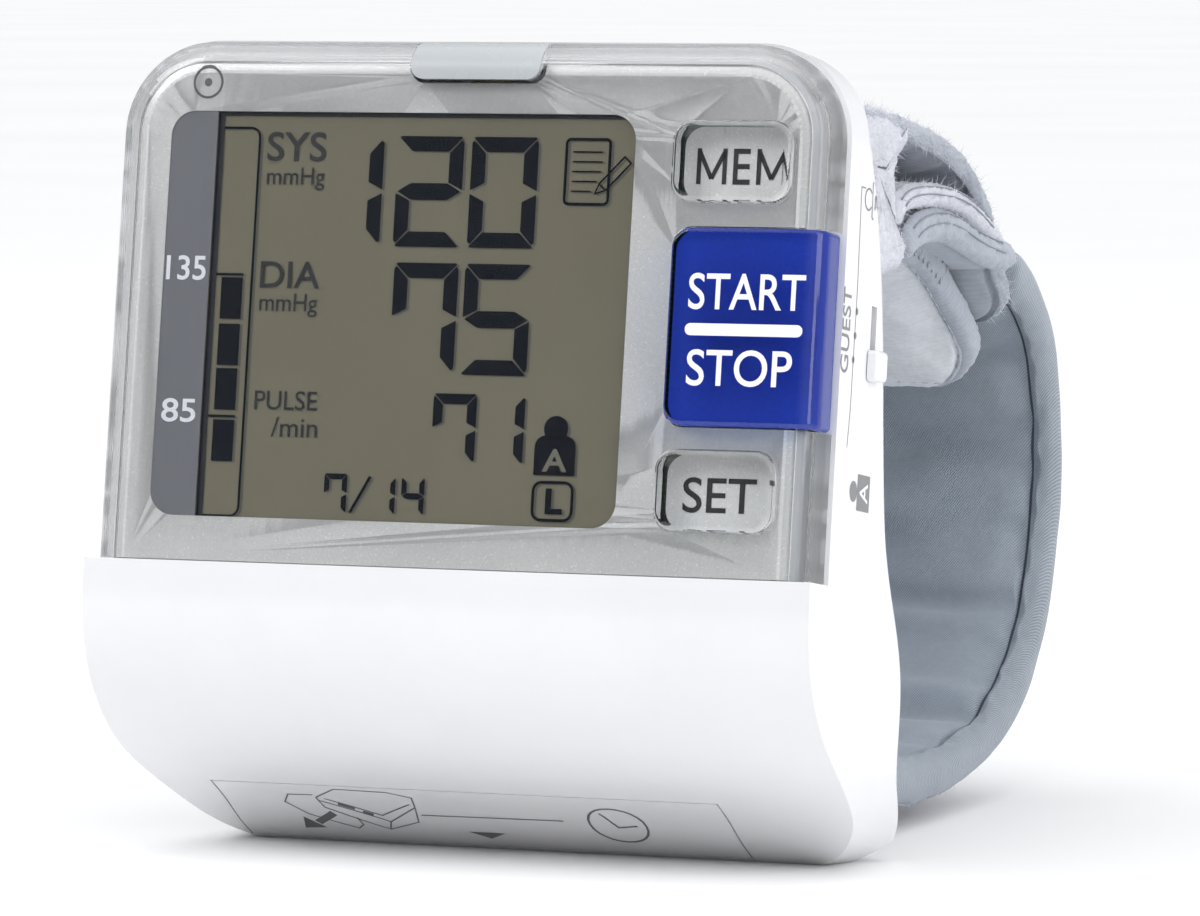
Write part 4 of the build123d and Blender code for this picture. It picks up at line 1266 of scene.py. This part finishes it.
def fuzz(name, sources, seed):
    """Loose fibres of the pile: fine slivers that stand off its faces."""
    rng = np.random.default_rng(seed)
    points = []
    for piece, kinds, density in sources:
        for polygon in piece.data.polygons:
            if polygon.material_index not in kinds or rng.random() > density * polygon.area * 1e6:
                continue
            tip = polygon.normal + Vector(rng.normal(0, 0.45, 3))
            side = polygon.normal.orthogonal().normalized() * float(rng.uniform(0.02, 0.04)) * MM
            root = polygon.center
            points += [root - side, root + side, root + tip * float(rng.uniform(0.35, 0.95)) * MM]
    faces = [[k, k + 1, k + 2] for k in range(0, len(points), 3)]
    return mesh_piece(name, points, faces, PILE, None)


band_strip, band = outer_band()
strap_strip, strap = top_strap()
pad_strip, pad = wrist_pad()
fold_strip, fold = folded_layer("strap_fold", FOLD_ROUTE, 2.4, 30.6, PILE, 14)
hem_strip, hem = folded_layer("strap_hem", HEM_ROUTE, 3.3, 31.0, KNIT, 17)
side = side_pile()
crown = band_belly()
hooks = Strip(BAND_ROUTE, 4.9, 5.6, 22.0, start=0.88, end=0.98, edge=0.3, seed=50.0,
              swell=0.0).build("hook_tape", [hook_tape()] * 3)
BAND_CORE = Route(BAND_ROUTE)
FLAP_WAY = along(0.0, *(BAND_CORE.point(0.63) - BAND_CORE.point(0.57))).normalized()


def bends(piece):
    """The piece keeps its world place, baked into its mesh."""
    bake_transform(piece)


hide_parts("band_cover", "band_padding", "band_liner", "band_binding",
            "flap_cover", "flap_padding", "flap_liner", "flap_binding")
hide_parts("top_band")
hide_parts("pad_cover", "pad_liner", "pad_binding", "air_bladder")
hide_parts("band_crown")
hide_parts("hook_patch")
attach(hooks, "cuff_flap")
seams = threads("band_seams", seam_lines(band_strip, 2.6, 0.01, 0.985), 0.3, SEAM)
sewn = [
    threads("pad_stitches", pad_stitching(pad_strip), 0.13, THREAD),
    threads("pad_seams", seam_lines(pad_strip, 1.9, 0.04, 0.9), 0.12, EDGE_SEAM),
    threads("strap_seams", seam_lines(strap_strip, 1.6, 0.02, 0.9) + hem_lines(hem_strip)
            + hem_lines(fold_strip), 0.09, EDGE_SEAM),
    fuzz("pile_fuzz", [(strap, (OUTER, EDGE), 3.5), (side, (OUTER,), 3.5), (fold, (OUTER, EDGE), 1.5)], 61)]
for piece in (strap, pad, fold, hem, side, crown, *sewn):
    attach(piece, "device")
band_fibres = fuzz("band_fuzz", [(band, (OUTER,), 0.5)], 62)
keep_above_floor(band_fibres)
for piece in (band, seams, band_fibres):
    bends(piece)

# ------------------------------------------------------------------ floor, lights, camera
bpy.ops.mesh.primitive_circle_add(vertices=96, radius=25, fill_type="NGON")
floor = bpy.context.object
floor.name = "floor"
floor.data.materials.append(floor_paint())


def lamp(kind, name, place, energy, size):
    """A lamp that faces the device; size is the side of its square, or its angle in degrees."""
    light = bpy.data.lights.new(name, kind)
    light.energy = energy
    if kind == "AREA":
        light.size = size
    else:
        light.angle = math.radians(size)
    holder = bpy.data.objects.new(name, light)
    bpy.context.scene.collection.objects.link(holder)
    holder.location = place
    holder.rotation_euler = (Vector((0, 0, 0.04)) - Vector(place)).to_track_quat("-Z", "Y").to_euler()


lamp("SUN", "top_light", (0.0, -0.2, 1.0), 1.9, 100)
lamp("AREA", "key_softbox", (-0.75, -0.65, 0.75), 4.5, 0.55)
lamp("AREA", "side_softbox", (0.95, -0.25, 0.45), 3.6, 0.6)


def studio():
    """Pale room, dark on the side that the display's clear cover mirrors."""
    world = bpy.data.worlds.new("studio")
    world.use_nodes = True
    tree = world.node_tree
    sky = tree.nodes["Background"]
    sky.inputs["Color"].default_value = (0.96, 0.98, 1.0, 1)
    mirrored = Vector((-0.365, -0.903, 0.225)).normalized()
    towards = add_node(tree, "ShaderNodeVectorMath", {
        0: add_node(tree, "ShaderNodeTexCoord").outputs["Generated"], 1: mirrored}, operation="DOT_PRODUCT")
    span = add_node(tree, "ShaderNodeMapRange", {
        "Value": towards.outputs["Value"], "From Min": 0.45, "From Max": 0.92,
        "To Min": 0.58, "To Max": 0.04})
    tree.links.new(span.outputs[0], sky.inputs["Strength"])
    return world


bpy.context.scene.world = studio()
bpy.context.scene.view_settings.view_transform = "Standard"

camera = bpy.data.objects.new("camera", bpy.data.cameras.new("camera"))
bpy.context.scene.collection.objects.link(camera)
camera.location = (0.28333, -0.70311, 0.09183)
camera.rotation_euler = (math.radians(85.984), 0, math.radians(22.280))
for key, value in {"lens": 216, "sensor_width": 36, "sensor_fit": "HORIZONTAL", "clip_start": 0.01,
                   "clip_end": 100}.items():
    setattr(camera.data, key, value)
bpy.context.scene.camera = camera
